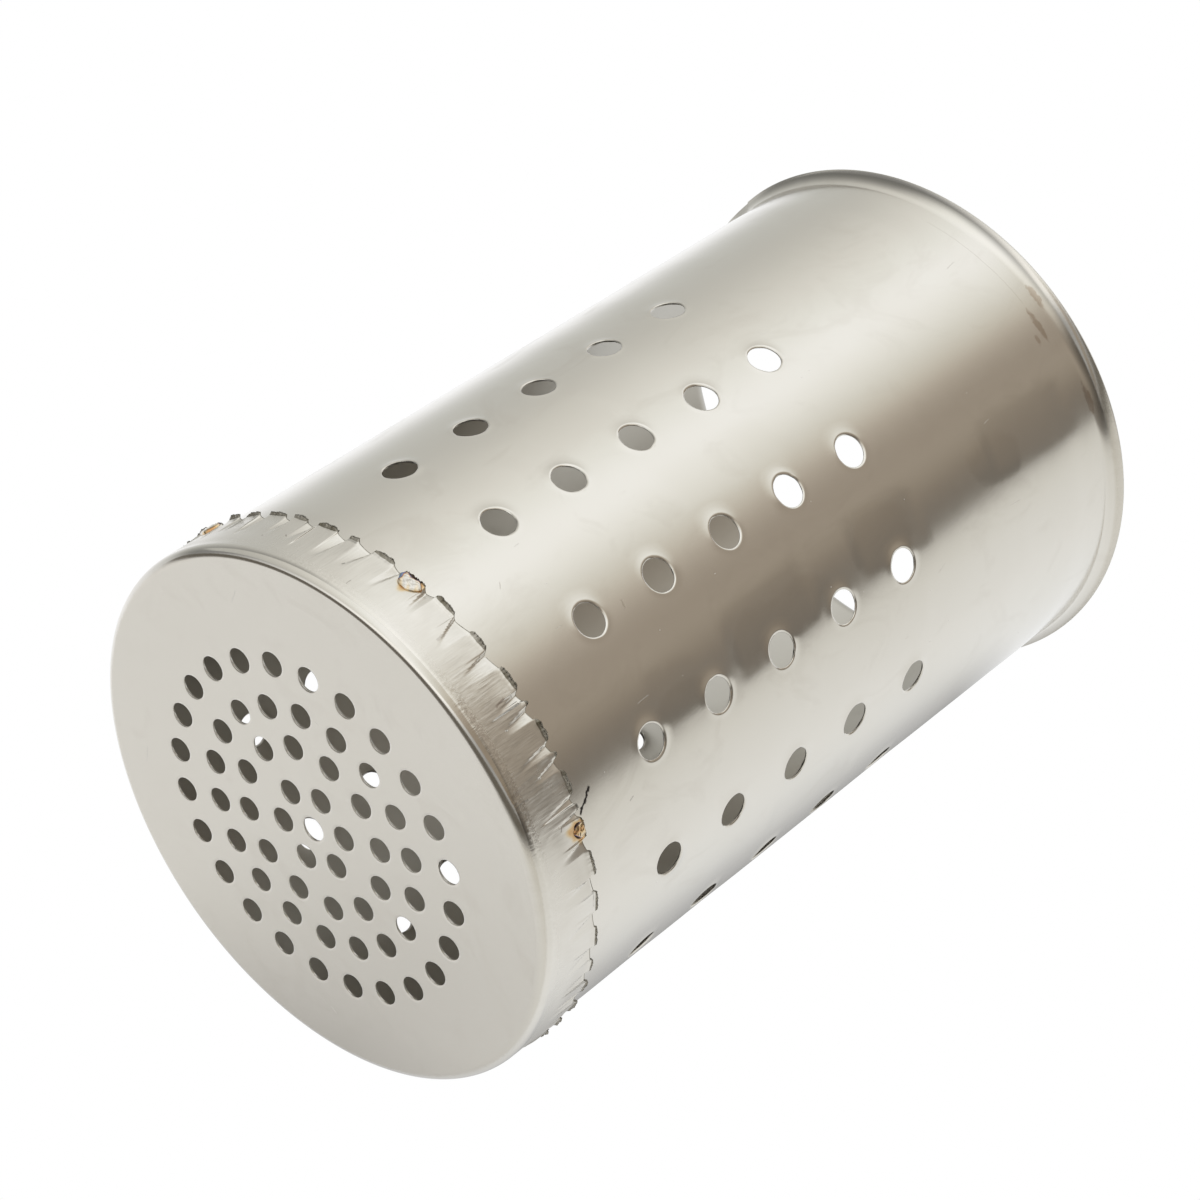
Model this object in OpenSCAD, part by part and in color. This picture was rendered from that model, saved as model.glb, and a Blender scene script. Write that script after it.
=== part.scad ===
// Cylindrical cheese mold: a rolled, punched stainless wall with a belled rim,
// closed by a perforated base cap whose skirt is crimped over the wall and
// tack welded. The mold stands on its base at z = 0, its axis is +Z and the
// longitudinal seam of the wall faces +Y.

/* [Wall] */
// Outside diameter of the rolled wall
wall_d = 100; // [96:1:110]
// Overall height from the base face to the top of the rim
mold_h = 165; // [150:1:200]
// Thickness of the sheet used for the wall and the base cap
sheet_t = 0.5; // [0.4:0.1:0.8]
// Gap between the two butted edges of the wall sheet, filled by the seam weld
seam_gap = 0.6; // [0.4:0.1:1.0]

/* [Rim] */
// Radius of the belled rim, on the outer face of the sheet
bell_r = 3.6; // [3:0.1:5]
// Angle through which the bell turns outwards from the wall
bell_turn = 64; // [50:1:80]

/* [Wall drain holes] */
// Diameter of a wall drain hole
wall_hole_d = 6; // [4:0.5:7]
// Number of hole columns round the wall
wall_columns = 12; // [8:1:13]
// Pitch of the hole columns, measured along the outside of the sheet
column_pitch = 22.5; // [20:0.1:23]
// Number of holes in a column
wall_rows = 5; // [3:1:6]
// Height of the middle of the hole field above the base face
wall_field_z = 65.4; // [58:0.1:80]
// Vertical pitch of the holes
wall_row_pitch = 17.1; // [12:0.1:20]
// Angle by which the hole field is punched out of square with the sheet
field_skew = 1.26; // [0:0.02:2]

/* [Base cap] */
// Height of the crimped skirt
skirt_h = 12.3; // [10:0.1:16]
// Gap between the wall and the pressed parts of the skirt
skirt_gap = 0.1; // [0.05:0.05:0.2]
// Outside radius of the bend between base and skirt
cap_corner_r = 1.8; // [1.0:0.1:2.2]
// Diameter of a base drain hole
base_hole_d = 4.5; // [3:0.5:5]
// Offset of the hand-punched hole field from the cap centre, along X
field_dx = 2.05; // [0:0.05:3]
// Offset of the hand-punched hole field from the cap centre, along Y
field_dy = -0.65; // [-3:0.05:3]
// Angle of the base hole field about its own centre
field_phase = 5.75; // [0:0.05:15]

/* [Crimp] */
// Number of pleats round the skirt
pleats = 44; // [36:1:50]
// Height on the skirt at which the pleats start to lift
pleat_z = 5.2; // [4:0.1:8]
// Mean distance that a pleat's free edge stands off the pressed skirt
pleat_lift = 0.75; // [0.4:0.05:1.0]

/* [Tack welds] */
// Number of tack welds between skirt and wall
tacks = 6; // [3:1:8]
// Angle of the first tack weld
tack_phase = 154.3; // [140:0.1:160]
// Radius of the weld puddle
tack_r = 2.1; // [1.6:0.1:2.4]

/* [Hidden] */
$fn = 96;
round_fn = 180; // facets of the wall and the cap
fine_fn = 720;  // facets of the weld faces that follow the wall and the skirt
overshoot = 1;  // unit by which cutters run past what they cut

wall_r = wall_d / 2;
bore_r = wall_r - sheet_t;
skirt_ri = wall_r + skirt_gap;
skirt_r = skirt_ri + sheet_t;

// The wall's lower edge stands just clear of the bend inside the cap
wall_clearance = 0.05;
bend_ri = cap_corner_r - sheet_t;
wall_z0 = cap_corner_r - sqrt(pow(bend_ri, 2) - pow(bend_ri - skirt_gap, 2)) + wall_clearance;

// Centre of the bell's arc in the wall section, and radius of the rim
bell_x = wall_r + bell_r;
bell_z = mold_h - (bell_r + sheet_t) * sin(bell_turn);
rim_r = wall_r + bell_r * (1 - cos(bell_turn));

// Seam weld: its direction, and the rounded crown that stands proud outside
seam_angle = 90;
crown_r = 2.6;
crown_h = 0.3;
crown_z = skirt_h + 0.6;

// Rings of base holes: [number of holes, ring radius]
base_rings = [[1, 0], [6, 7.3], [12, 15.8], [18, 23.05], [24, 31.6]];

// Crimp: fit of a lifted flat at its root and in its slot
flat_inset = 0.02;      // taken off the flat's inner face
flat_root = 0.4;        // flat runs this far below its hinge
slot_rise = 0.3;        // slot starts this far above the hinge
slot_side = 0.03;       // slot is narrower than the flat, each side
tack_keep_angle = 5;    // no pleat is lifted this close to a tack weld

// Tack weld centre, measured in from the skirt's face and down from its edge
tack_inset = 0.9;
tack_drop = 0.5;

// Angle of tack weld k: evenly shared, with the small scatter of hand work
function tack_angle(k) =
    tack_phase + k * 360 / tacks + (k % 2 == 1 ? -5.2 : 1.2) * sin(k * 123);

// Angle, width, lift and edge height of pleat i, irregular as in hand crimping
function pleat_angle(i) = i * 360 / pleats + 1.3 * sin(i * 97.3);
function pleat_width(i) = 3.7 + 0.5 * sin(i * 57.1 + 20);
function pleat_off(i) = pleat_lift * (1 + 0.25 * sin(i * 133));
function pleat_top(i) = 0.3 * sin(i * 211);

// Smallest angle between two directions
function apart(from, to) = abs(((from - to) % 360 + 540) % 360 - 180);
function near_tack(angle) =
    min([for (k = [0:tacks - 1]) apart(angle, tack_angle(k))]) < tack_keep_angle;

// Pleats that are lifted
lifted = [for (i = [0:pleats - 1]) if (!near_tack(pleat_angle(i))) i];

// Section of the wall: straight sheet, then the bell turning outwards
module wall_section() {
    reach = 3 * bell_r;
    difference() {
        intersection() {
            union() {
                translate([bore_r, wall_z0]) square([bell_x - bore_r, bell_z - wall_z0]);
                translate([bell_x, bell_z]) circle(r = bell_r + sheet_t);
            }
            // Ends the bell's arc at bell_turn
            polygon([
                [bell_x, bell_z],
                [bell_x - reach * cos(bell_turn), bell_z + reach * sin(bell_turn)],
                [0, bell_z + reach],
                [0, 0],
                [bell_x, 0]
            ]);
        }
        translate([wall_r, 0]) square([2 * bell_r, bell_z]);
        translate([bell_x, bell_z]) circle(r = bell_r);
    }
}

// The field is punched in the flat sheet, so the columns stay clear of the seam
// by a blank margin, and the whole field is a little out of square
module wall_holes() {
    for (column = [0:wall_columns - 1], row = [0:wall_rows - 1]) {
        along = (column - (wall_columns - 1) / 2) * column_pitch;
        up = (row - (wall_rows - 1) / 2) * wall_row_pitch;
        skewed_along = along * cos(field_skew) + up * sin(field_skew);
        skewed_up = up * cos(field_skew) - along * sin(field_skew);
        rotate([0, 0, seam_angle + 180 + skewed_along / wall_r * 180 / PI])
            translate([bore_r - 2 * overshoot, 0, wall_field_z + skewed_up])
                rotate([0, 90, 0])
                    cylinder(d = wall_hole_d, h = sheet_t + 4 * overshoot);
    }
}

// Slab the width of the seam gap, through the seam line
module seam_slab() {
    rotate([0, 0, seam_angle])
        translate([bore_r - 3 * overshoot, -seam_gap / 2, -overshoot])
            cube([rim_r - bore_r + 6 * overshoot, seam_gap, mold_h + 2 * overshoot]);
}

module wall_sheet() {
    color([0.78, 0.77, 0.74])
    difference() {
        rotate_extrude($fn = round_fn) wall_section();
        wall_holes();
        seam_slab();
    }
}

// Weld that closes the seam: fills the gap through the sheet and carries a low
// crown on the outside, from just above the skirt to the bell
module seam_weld() {
    color([0.62, 0.58, 0.52])
    union() {
        intersection() {
            rotate_extrude($fn = fine_fn) wall_section();
            seam_slab();
        }
        difference() {
            rotate([0, 0, seam_angle])
                translate([wall_r + crown_h - crown_r, 0, crown_z])
                    cylinder(r = crown_r, h = bell_z - crown_z, $fn = 360);
            translate([0, 0, crown_z - overshoot])
                cylinder(r = wall_r, h = mold_h, $fn = fine_fn);
        }
    }
}

// Outline of the base cap's section: flat base, round bend and upright side
module cap_outline(radius, corner, low, top) {
    translate([0, low]) square([radius - corner, top - low]);
    translate([0, low + corner]) square([radius, top - low - corner]);
    translate([radius - corner, low + corner]) circle(r = corner);
}

module cap_section() {
    difference() {
        cap_outline(skirt_r, cap_corner_r, 0, skirt_h);
        cap_outline(skirt_ri, bend_ri, sheet_t, skirt_h + overshoot);
    }
}

// Rings of holes, every second ring turned by half a pitch
module base_holes() {
    translate([field_dx, field_dy, -overshoot])
        for (k = [0:len(base_rings) - 1], i = [0:base_rings[k][0] - 1])
            rotate([0, 0, field_phase + (i + (k % 2) / 2) * 360 / base_rings[k][0]])
                translate([base_rings[k][1], 0, 0])
                    cylinder(d = base_hole_d, h = sheet_t + 2 * overshoot);
}

// One lifted flat of the crimp, hinged out from the skirt at pleat_z
module lifted_flat(i) {
    flat_h = skirt_h - pleat_z;
    rotate([0, 0, pleat_angle(i)])
        translate([skirt_ri + flat_inset, 0, pleat_z])
            rotate([0, atan(pleat_off(i) / flat_h), 0])
                translate([0, -pleat_width(i) / 2, -flat_root])
                    cube([sheet_t - flat_inset, pleat_width(i),
                          flat_h + flat_root + pleat_top(i)]);
}

// Slot in the plain skirt that a lifted flat comes out of
module flat_slot(i) {
    slot_w = pleat_width(i) - 2 * slot_side;
    rotate([0, 0, pleat_angle(i)])
        translate([skirt_ri - overshoot, -slot_w / 2, pleat_z + slot_rise])
            cube([sheet_t + 3 * overshoot, slot_w, skirt_h]);
}

module base_cap() {
    color([0.84, 0.83, 0.80])
    union() {
        difference() {
            rotate_extrude($fn = round_fn) cap_section();
            base_holes();
            for (i = lifted) flat_slot(i);
        }
        for (i = lifted) lifted_flat(i);
    }
}

// Puddle of tack weld k, bridging the skirt's edge and the wall
module tack_weld(k) {
    difference() {
        rotate([0, 0, tack_angle(k)])
            translate([skirt_r - tack_inset, 0, skirt_h - tack_drop])
                sphere(r = tack_r);
        cylinder(r = wall_r, h = 3 * skirt_h, $fn = fine_fn);
        cylinder(r = skirt_r, h = skirt_h, $fn = fine_fn);
    }
}

module tack_welds() {
    color([0.66, 0.55, 0.42])
    for (k = [0:tacks - 1]) tack_weld(k);
}

wall_sheet();
base_cap();
seam_weld();
tack_welds();
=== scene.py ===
# A perforated sheet-steel mold, standing on its base with its axis on +Z. A round wall flares
# into a rolled bell at the top; a perforated base cap with a crimped skirt closes the bottom.
# The wall's seam weld runs up the +Y side, and six tack welds hold the skirt to the wall.
# Shapes are in millimetres until make_object scales them; the studio is in metres.
# Angles go round the axis from +X toward +Y. The unrolled wall has its arc length 0 at -Y.
import bpy
import math
import numpy as np
from mathutils import Matrix, Vector
from mathutils.geometry import delaunay_2d_cdt


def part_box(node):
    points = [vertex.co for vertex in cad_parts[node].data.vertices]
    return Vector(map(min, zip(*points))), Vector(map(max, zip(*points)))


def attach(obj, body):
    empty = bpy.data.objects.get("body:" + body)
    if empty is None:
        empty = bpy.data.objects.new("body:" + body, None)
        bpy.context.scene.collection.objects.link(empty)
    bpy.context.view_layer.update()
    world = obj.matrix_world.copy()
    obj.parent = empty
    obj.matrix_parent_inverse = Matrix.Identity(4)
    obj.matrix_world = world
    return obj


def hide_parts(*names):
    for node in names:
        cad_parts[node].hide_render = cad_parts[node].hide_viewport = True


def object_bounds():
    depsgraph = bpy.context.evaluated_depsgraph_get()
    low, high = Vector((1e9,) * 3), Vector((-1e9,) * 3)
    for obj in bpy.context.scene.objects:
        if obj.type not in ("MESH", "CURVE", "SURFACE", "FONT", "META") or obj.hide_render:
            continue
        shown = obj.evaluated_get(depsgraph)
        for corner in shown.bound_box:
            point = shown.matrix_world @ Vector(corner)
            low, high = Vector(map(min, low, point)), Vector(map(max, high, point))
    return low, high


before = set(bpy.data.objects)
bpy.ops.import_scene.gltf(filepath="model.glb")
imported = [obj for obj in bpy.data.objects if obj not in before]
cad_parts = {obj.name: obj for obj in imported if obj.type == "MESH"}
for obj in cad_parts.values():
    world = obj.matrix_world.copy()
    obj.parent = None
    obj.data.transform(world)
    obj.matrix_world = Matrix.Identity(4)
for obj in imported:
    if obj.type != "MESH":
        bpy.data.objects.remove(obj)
cad_lo, cad_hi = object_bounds()

# ------------------------------------------------------------------ driving sizes
MM = 0.001
TAU = 2 * math.pi
wall_lo, wall_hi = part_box("wall_sheet")
seam_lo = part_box("seam_weld")[0]

SHEET = 0.5                                   # sheet thickness
EDGE_R = 0.08                                 # rounding of sheared edges
NORMAL_STEP = 0.004                           # step of the slopes that give the normals
BELL_R = 3.6                                  # bend radius of the bell, outer face
BELL_TURN = math.radians(64.0)
RIM_R = (wall_hi.x - wall_lo.x) * 500.0
WALL_R = round(RIM_R - BELL_R * (1 - math.cos(BELL_TURN)), 1)     # outer face
HEIGHT = wall_hi.z * 1000.0
BELL_Z = HEIGHT - (BELL_R + SHEET) * math.sin(BELL_TURN)          # where the bell starts
WALL_BOTTOM = wall_lo.z * 1000.0
SEAM_BOTTOM = seam_lo.z * 1000.0
SLIT = 0.3                                    # half width of the slit under the seam bead
SKIRT_R = WALL_R + 0.1 + SHEET
SKIRT_H = 12.3

# holes in the wall: a slightly skewed field on the unrolled sheet
HOLE_R = 3.0
COLS, ROWS = 12, 5
PITCH_ARC, PITCH_Z = 22.5, 17.1
FIELD_Z = 65.4
SKEW = math.radians(1.26)
SKEW_COS, SKEW_SIN = math.cos(SKEW), math.sin(SKEW)

# holes in the base disc: rings of (count, radius) about an off-centre point
BASE_HOLE_R = 2.25
RINGS = ((1, 0.0), (6, 7.3), (12, 15.8), (18, 23.05), (24, 31.6))
FIELD_DX, FIELD_DY, FIELD_PHASE = 2.05, -0.65, 5.75

# about every 60 degrees, each one a little out of place
TACK_ANGLES = [154.3 + k * 60 - (k % 2) * 5.2 * math.sin(math.radians(k * 123))
               + ((k + 1) % 2) * 1.2 * math.sin(math.radians(k * 123)) for k in range(6)]
SMALL_TACK = 1                                # this tack is narrower and cooler


# ------------------------------------------------------------------ small tools
def smooth01(x):
    x = np.clip(x, 0.0, 1.0)
    return x * x * (3 - 2 * x)


def soft_ramp(x, width):
    """max(x, 0) with its corner rounded over the given width."""
    return 0.5 * (x + np.sqrt(x * x + width * width))


def unit(v):
    return v / np.maximum(np.linalg.norm(v, axis=-1, keepdims=True), 1e-12)


def polar(radius, theta, z):
    return np.stack([radius * np.cos(theta), radius * np.sin(theta), z], -1)


class Waves:
    """A smooth random field on the unrolled sheet, periodic round the circumference."""

    def __init__(self, seed, count, shortest, longest, radius=50.0, aspect=1.0):
        rng = np.random.RandomState(seed)
        length = shortest * (longest / shortest) ** rng.rand(count)
        turn = rng.rand(count) * math.pi
        self.around = np.round(radius * TAU / length * np.cos(turn) / TAU)
        self.upward = TAU / (length * aspect) * np.sin(turn)
        self.phase = rng.rand(count) * TAU
        self.size = rng.normal(size=count) * (length / longest) / math.sqrt(count / 2.0)

    def __call__(self, theta, z):
        out = np.zeros(np.broadcast(theta, z).shape)
        for around, upward, phase, size in zip(self.around, self.upward, self.phase, self.size):
            out += size * np.cos(around * theta + upward * z + phase)
        return out


def add_attribute(mesh, name, data):
    data = np.asarray(data, np.float32)
    kind, field = ("FLOAT_VECTOR", "vector") if data.ndim == 2 else ("FLOAT", "value")
    mesh.attributes.new(name, kind, "POINT").data.foreach_set(field, data.ravel())


def make_object(name, verts, quads, tris, normals, attributes):
    """A mesh object from millimetre arrays, with exact vertex normals and attributes."""
    mesh = bpy.data.meshes.new(name)
    quads = np.asarray(quads, np.int32).reshape(-1, 4)
    tris = np.asarray(tris, np.int32).reshape(-1, 3)
    mesh.vertices.add(len(verts))
    mesh.vertices.foreach_set("co", (np.asarray(verts) * MM).astype(np.float32).ravel())
    mesh.loops.add(quads.size + tris.size)
    mesh.loops.foreach_set("vertex_index", np.concatenate([quads.ravel(), tris.ravel()]))
    mesh.polygons.add(len(quads) + len(tris))
    starts = [np.arange(len(quads)) * 4, quads.size + np.arange(len(tris)) * 3]
    mesh.polygons.foreach_set("loop_start", np.concatenate(starts).astype(np.int32))
    mesh.update(calc_edges=True)
    mesh.shade_smooth()
    for attribute, data in attributes.items():
        add_attribute(mesh, attribute, data)
    mesh.normals_split_custom_set_from_vertices(unit(np.asarray(normals, float)).tolist())
    obj = bpy.data.objects.new(name, mesh)
    bpy.context.scene.collection.objects.link(obj)
    return obj


def sheet_solid(points, normals, quads, tris, data):
    """Turns a one-sided sheet, faces counter-clockwise from outside, into a closed solid with
    rounded sheared edges. The arrays in data follow the vertices. The last value returned is
    0 on the outer face, 1 on the inner face and in between on the edges."""
    n = len(points)
    edges = [np.stack([quads[:, k], quads[:, (k + 1) % 4]], 1) for k in range(4)]
    edges += [np.stack([tris[:, k], tris[:, (k + 1) % 3]], 1) for k in range(3)]
    edges = np.concatenate(edges).astype(np.int64)
    key = edges[:, 0] * n + edges[:, 1]
    reverse = edges[:, 1] * n + edges[:, 0]
    border = edges[~np.isin(key, reverse)]
    following = np.full(n, -1, np.int64)
    previous = np.full(n, -1, np.int64)
    following[border[:, 0]] = border[:, 1]
    previous[border[:, 1]] = border[:, 0]
    rim = np.where((following >= 0) & (previous >= 0))[0]
    aside = unit(np.cross(points[following[rim]] - points[previous[rim]], normals[rim]))
    inner = points - normals * SHEET
    rim_out, rim_in, rim_normal = points[rim], inner[rim], normals[rim]
    sin45 = math.sin(math.pi / 4)
    near, far = EDGE_R * (1 - sin45), EDGE_R * sin45
    rings = [(rim_out + aside * far - rim_normal * near, unit(rim_normal + aside)),
             (rim_out + aside * EDGE_R - rim_normal * EDGE_R, aside),
             (rim_in + aside * EDGE_R + rim_normal * EDGE_R, aside),
             (rim_in + aside * far + rim_normal * near, unit(aside - rim_normal))]
    verts = np.concatenate([points, inner] + [ring[0] for ring in rings])
    vert_normals = np.concatenate([normals, -normals] + [ring[1] for ring in rings])
    slot = np.full(n, -1, np.int64)
    slot[rim] = np.arange(len(rim))
    start, end = border[:, 0], border[:, 1]
    closed = (slot[start] >= 0) & (slot[end] >= 0)
    start, end = start[closed], end[closed]
    levels = [(start, end)]
    for k in range(4):
        base = 2 * n + k * len(rim)
        levels.append((base + slot[start], base + slot[end]))
    levels.append((start + n, end + n))
    all_quads = [quads, quads[:, ::-1] + n]
    for (a0, b0), (a1, b1) in zip(levels[:-1], levels[1:]):
        all_quads.append(np.stack([b0, a0, a1, b1], 1))
    all_tris = np.concatenate([tris, tris[:, ::-1] + n])
    spread = [np.concatenate([array, array] + [array[rim]] * 4) for array in data]
    side = np.concatenate([np.zeros(n), np.ones(n)]
                          + [np.full(len(rim), v) for v in (0.2, 0.4, 0.6, 0.8)])
    return verts, vert_normals, np.concatenate(all_quads), all_tris, spread, side


def tack_heat(points):
    """Heat colour round the tack welds: strongest at the weld, gone after two millimetres."""
    angle = np.degrees(np.arctan2(points[:, 1], points[:, 0])) % 360
    out = np.zeros(len(points))
    for k, tack in enumerate(TACK_ANGLES):
        x = (np.mod(angle - tack + 180, 360) - 180) * SKIRT_R * math.pi / 180
        y = points[:, 2] - 11.5
        around = np.arctan2(y, x)
        wobble = 1 + 0.16 * np.sin(3 * around + k) + 0.1 * np.sin(7 * around + 2 * k)
        dist = np.hypot(x / 2.1, np.minimum(y, 0) / 2.25 + np.maximum(y, 0) / 1.2) / wobble
        strength = 0.34 if k == SMALL_TACK else 0.40
        out = np.maximum(out, strength * np.clip(1 - (dist - 0.80) / 0.55, 0, 1) ** 1.2)
    return out


# ------------------------------------------------------------------ the perforated wall
hole_arc = np.array([(c - (COLS - 1) / 2) * PITCH_ARC for c in range(COLS)])
hole_up = np.array([(r - (ROWS - 1) / 2) * PITCH_Z for r in range(ROWS)])
# each hole's own variation, drawn in this order
rng = np.random.RandomState(41)
hole_depth = 0.22 + 0.12 * rng.rand(COLS, ROWS)               # edge rolled inward
hole_lean = rng.rand(COLS, ROWS) * TAU                        # its deepest direction
hole_lean_share = 0.10 + 0.28 * rng.rand(COLS, ROWS)
hole_burr = rng.rand(COLS, ROWS) * TAU
hole_nick = rng.rand(COLS, ROWS)
hole_nick_at = rng.rand(COLS, ROWS) * TAU
hole_dent = 0.02 + 0.035 * rng.rand(COLS, ROWS)               # broad dent round the hole
hole_collar = 0.16 + 0.14 * rng.rand(COLS, ROWS)              # raised soft collar
hole_collar_at = math.radians(170) + 0.6 * rng.normal(size=(COLS, ROWS))

# places where the sheet was not rolled fully round: angle, height, half width in degrees,
# half height, share of a full flat, slant in degrees per millimetre
FLATS = [
    (197.5, 143.0, 6.2, 12.0, 0.55, 0.10), (198.0, 100.0, 6.6, 9.0, 0.60, 0.12),
    (198.5, 67.0, 6.8, 11.0, 0.60, -0.08), (198.4, 41.5, 4.6, 5.5, 0.50, 0.15),
    (168.0, 76.0, 5.5, 13.0, 0.25, 0.10), (143.0, 58.0, 5.5, 12.0, 0.22, -0.12),
    (220.0, 120.0, 6.0, 14.0, 0.22, 0.10), (244.0, 74.0, 5.6, 12.0, 0.30, 0.1),
    (272.0, 96.0, 6.0, 12.0, 0.4, -0.1), (296.0, 60.0, 6.2, 11.0, 0.5, 0.12),
    (322.0, 108.0, 6.0, 12.0, 0.45, 0.1), (347.0, 74.0, 5.8, 10.0, 0.5, -0.1),
    (13.0, 92.0, 6.2, 12.0, 0.5, 0.1), (40.0, 50.0, 5.8, 10.0, 0.4, 0.12),
    (65.0, 112.0, 5.5, 10.0, 0.4, -0.1)]
wave_long = Waves(seed=7, count=26, shortest=34.0, longest=90.0, aspect=1.5)
wave_mid = Waves(seed=8, count=40, shortest=12.0, longest=30.0)
wave_rim = Waves(seed=9, count=22, shortest=14.0, longest=60.0, radius=52.0, aspect=6.0)
wave_peen = Waves(seed=10, count=60, shortest=3.0, longest=7.0)


def sheet_to_field(arc, z):
    """Place in the skewed hole field of a place on the unrolled sheet."""
    up = z - FIELD_Z
    return arc * SKEW_COS - up * SKEW_SIN, arc * SKEW_SIN + up * SKEW_COS


def field_to_sheet(across, up):
    return across * SKEW_COS + up * SKEW_SIN, FIELD_Z + up * SKEW_COS - across * SKEW_SIN


def nearest_hole(across, up):
    """Column, row, distance and direction from the centre of the nearest hole."""
    col = np.clip(np.round(across / PITCH_ARC + (COLS - 1) / 2), 0, COLS - 1).astype(int)
    row = np.clip(np.round(up / PITCH_Z + (ROWS - 1) / 2), 0, ROWS - 1).astype(int)
    dx, dy = across - hole_arc[col], up - hole_up[row]
    return col, row, np.hypot(dx, dy), np.arctan2(dy, dx)


def hole_edge_shift(hole, dist, around):
    """The edge rolled inward with burr and nick, and the collar raised by the punch."""
    to_lean = around - hole_lean[hole]
    lean = 1 + hole_lean_share[hole] * np.cos(to_lean)
    width = 0.50 * (1 + 0.20 * np.cos(to_lean + 0.6))
    inward = 1 - np.clip((dist - HOLE_R) / width, 0, 1)
    dish = -hole_depth[hole] * lean * inward ** 2
    burr = 0.035 * (np.cos(5 * around + hole_burr[hole])
                    + 0.6 * np.cos(9 * around - 2 * hole_burr[hole])) * inward ** 3
    to_nick = np.angle(np.exp(1j * (around - hole_nick_at[hole])))
    nick = 0.14 * hole_nick[hole] * np.exp(-(to_nick / 0.24) ** 2) * inward
    to_collar = np.cos(around - hole_collar_at[hole])
    collar = np.clip(1 - (dist - HOLE_R) / (1.9 + 0.5 * to_collar), 0, 1)
    high_side = 0.40 + 0.60 * smooth01(0.5 + 0.6 * to_collar)
    return dish + burr + nick + hole_collar[hole] * collar ** 2 * high_side


def add_flats(out, theta, up):
    """Moves the sheet from its arc toward a chord at each flat."""
    for angle, height, half_deg, half_height, share, slant in FLATS:
        off = np.mod(np.degrees(theta) - angle + 180, 360) - 180 - slant * (up - height)
        off = np.radians(np.clip(off, -3 * half_deg, 3 * half_deg))
        half = math.radians(half_deg)
        chord = -WALL_R * soft_ramp((half * half - off ** 2) / 2, 0.16 * half * half)
        out += share * chord * smooth01((half_height - np.abs(up - height)) / 3.6 + 0.5)


def add_hole_dents(out, across, field_up):
    for c in range(COLS):
        for r in range(ROWS):
            dist2 = (across - hole_arc[c]) ** 2 + (field_up - hole_up[r]) ** 2
            near = dist2 < 400
            if near.any():
                out[near] -= hole_dent[c, r] * np.exp(-dist2[near] / (2 * 4.6 ** 2))


def wall_shift(arc, up):
    """Outward displacement of the wall's outer face at a place on the unrolled sheet."""
    theta = arc / WALL_R + math.radians(270)
    across, field_up = sheet_to_field(arc, up)
    col, row, dist, around = nearest_hole(across, field_up)
    out = hole_edge_shift((col, row), dist, around)
    add_flats(out, theta, up)
    add_hole_dents(out, across, field_up)
    calm = smooth01((up - 12.0) / 8.0)        # true round where the cap grips the wall
    rough = 0.080 * wave_long(theta, up) + 0.028 * wave_mid(theta, up)
    rough += 0.0012 * wave_peen(theta, up)
    rough += -0.05 * np.exp(-((up - (BELL_Z - 5.5)) / 3.2) ** 2)     # neck under the bell
    out += rough * calm
    # the rolled ends are a little flat next to the seam, and the end on the +X side of the
    # seam is lower toward the rim
    to_end = math.pi * WALL_R - np.abs(arc)
    out += -0.16 * np.exp(-(to_end / 5.0) ** 2) * calm
    to_high_end = math.pi * WALL_R - arc
    one_end = smooth01(to_high_end / 0.1) * np.exp(-(to_high_end / 9.0) ** 2)
    out += -0.38 * one_end * smooth01((up - (BELL_Z - 14)) / 12.0)
    out += smooth01((up - BELL_Z + 1.0) / 4.0) * 0.10 * wave_rim(theta, up)
    return out


def wall_point(arc, up):
    theta = arc / WALL_R + math.radians(270)
    turn = np.clip((up - BELL_Z) / BELL_R, 0, None)
    radius = WALL_R + BELL_R * (1 - np.cos(turn))
    z = np.where(up > BELL_Z, BELL_Z + BELL_R * np.sin(turn), up)
    shift = wall_shift(arc, up)
    return polar(radius + shift * np.cos(turn), theta, z - shift * np.sin(turn))


CELL_X, CELL_Y = 18, 14                       # segments along a cell's sides
PANEL = 14                                    # segments from the field to the seam
# edge loops round each wall hole, as distances from its edge
HOLE_LOOPS = (0.07, 0.12, 0.19, 0.28, 0.38, 0.50, 0.63, 0.77, 0.92, 1.10, 1.35, 1.75)


def hole_cell():
    """Points and quads from a round hole out to its rectangular cell."""
    seg = 2 * CELL_X + 2 * CELL_Y
    half_x, half_y = PITCH_ARC / 2, PITCH_Z / 2
    right = [(half_x, -half_y + PITCH_Z * k / CELL_Y) for k in range(CELL_Y)]
    top = [(half_x - PITCH_ARC * k / CELL_X, half_y) for k in range(CELL_X)]
    left = [(-half_x, half_y - PITCH_Z * k / CELL_Y) for k in range(CELL_Y)]
    low = [(-half_x + PITCH_ARC * k / CELL_X, -half_y) for k in range(CELL_X)]
    rect = np.roll(np.array(right + top + left + low), -(CELL_Y // 2), axis=0)
    angle = np.arange(seg) * TAU / seg
    circle = np.stack([np.cos(angle), np.sin(angle)], 1)
    radii = [HOLE_R + v for v in HOLE_LOOPS]
    rings = [circle * v for v in radii]
    for share in (0.16, 0.34, 0.54, 0.76, 1.0):
        rings.append(circle * radii[-1] * (1 - share) + rect * share)
    i = np.arange(seg)
    j = (i + 1) % seg
    quads = [np.stack([k * seg + i, (k + 1) * seg + i, (k + 1) * seg + j, k * seg + j], 1)
             for k in range(len(rings) - 1)]
    return np.concatenate(rings), np.concatenate(quads)


def lattice_quads(shape, arc_first):
    """Quads of a grid of points, counter-clockwise whichever axis holds the arc length."""
    index = np.arange(shape[0] * shape[1]).reshape(shape[:2])
    corners = [index[:-1, :-1], index[1:, :-1], index[1:, 1:], index[:-1, 1:]]
    if not arc_first:
        corners = [corners[k] for k in (0, 3, 2, 1)]
    return np.stack(corners, -1).reshape(-1, 4)


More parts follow.
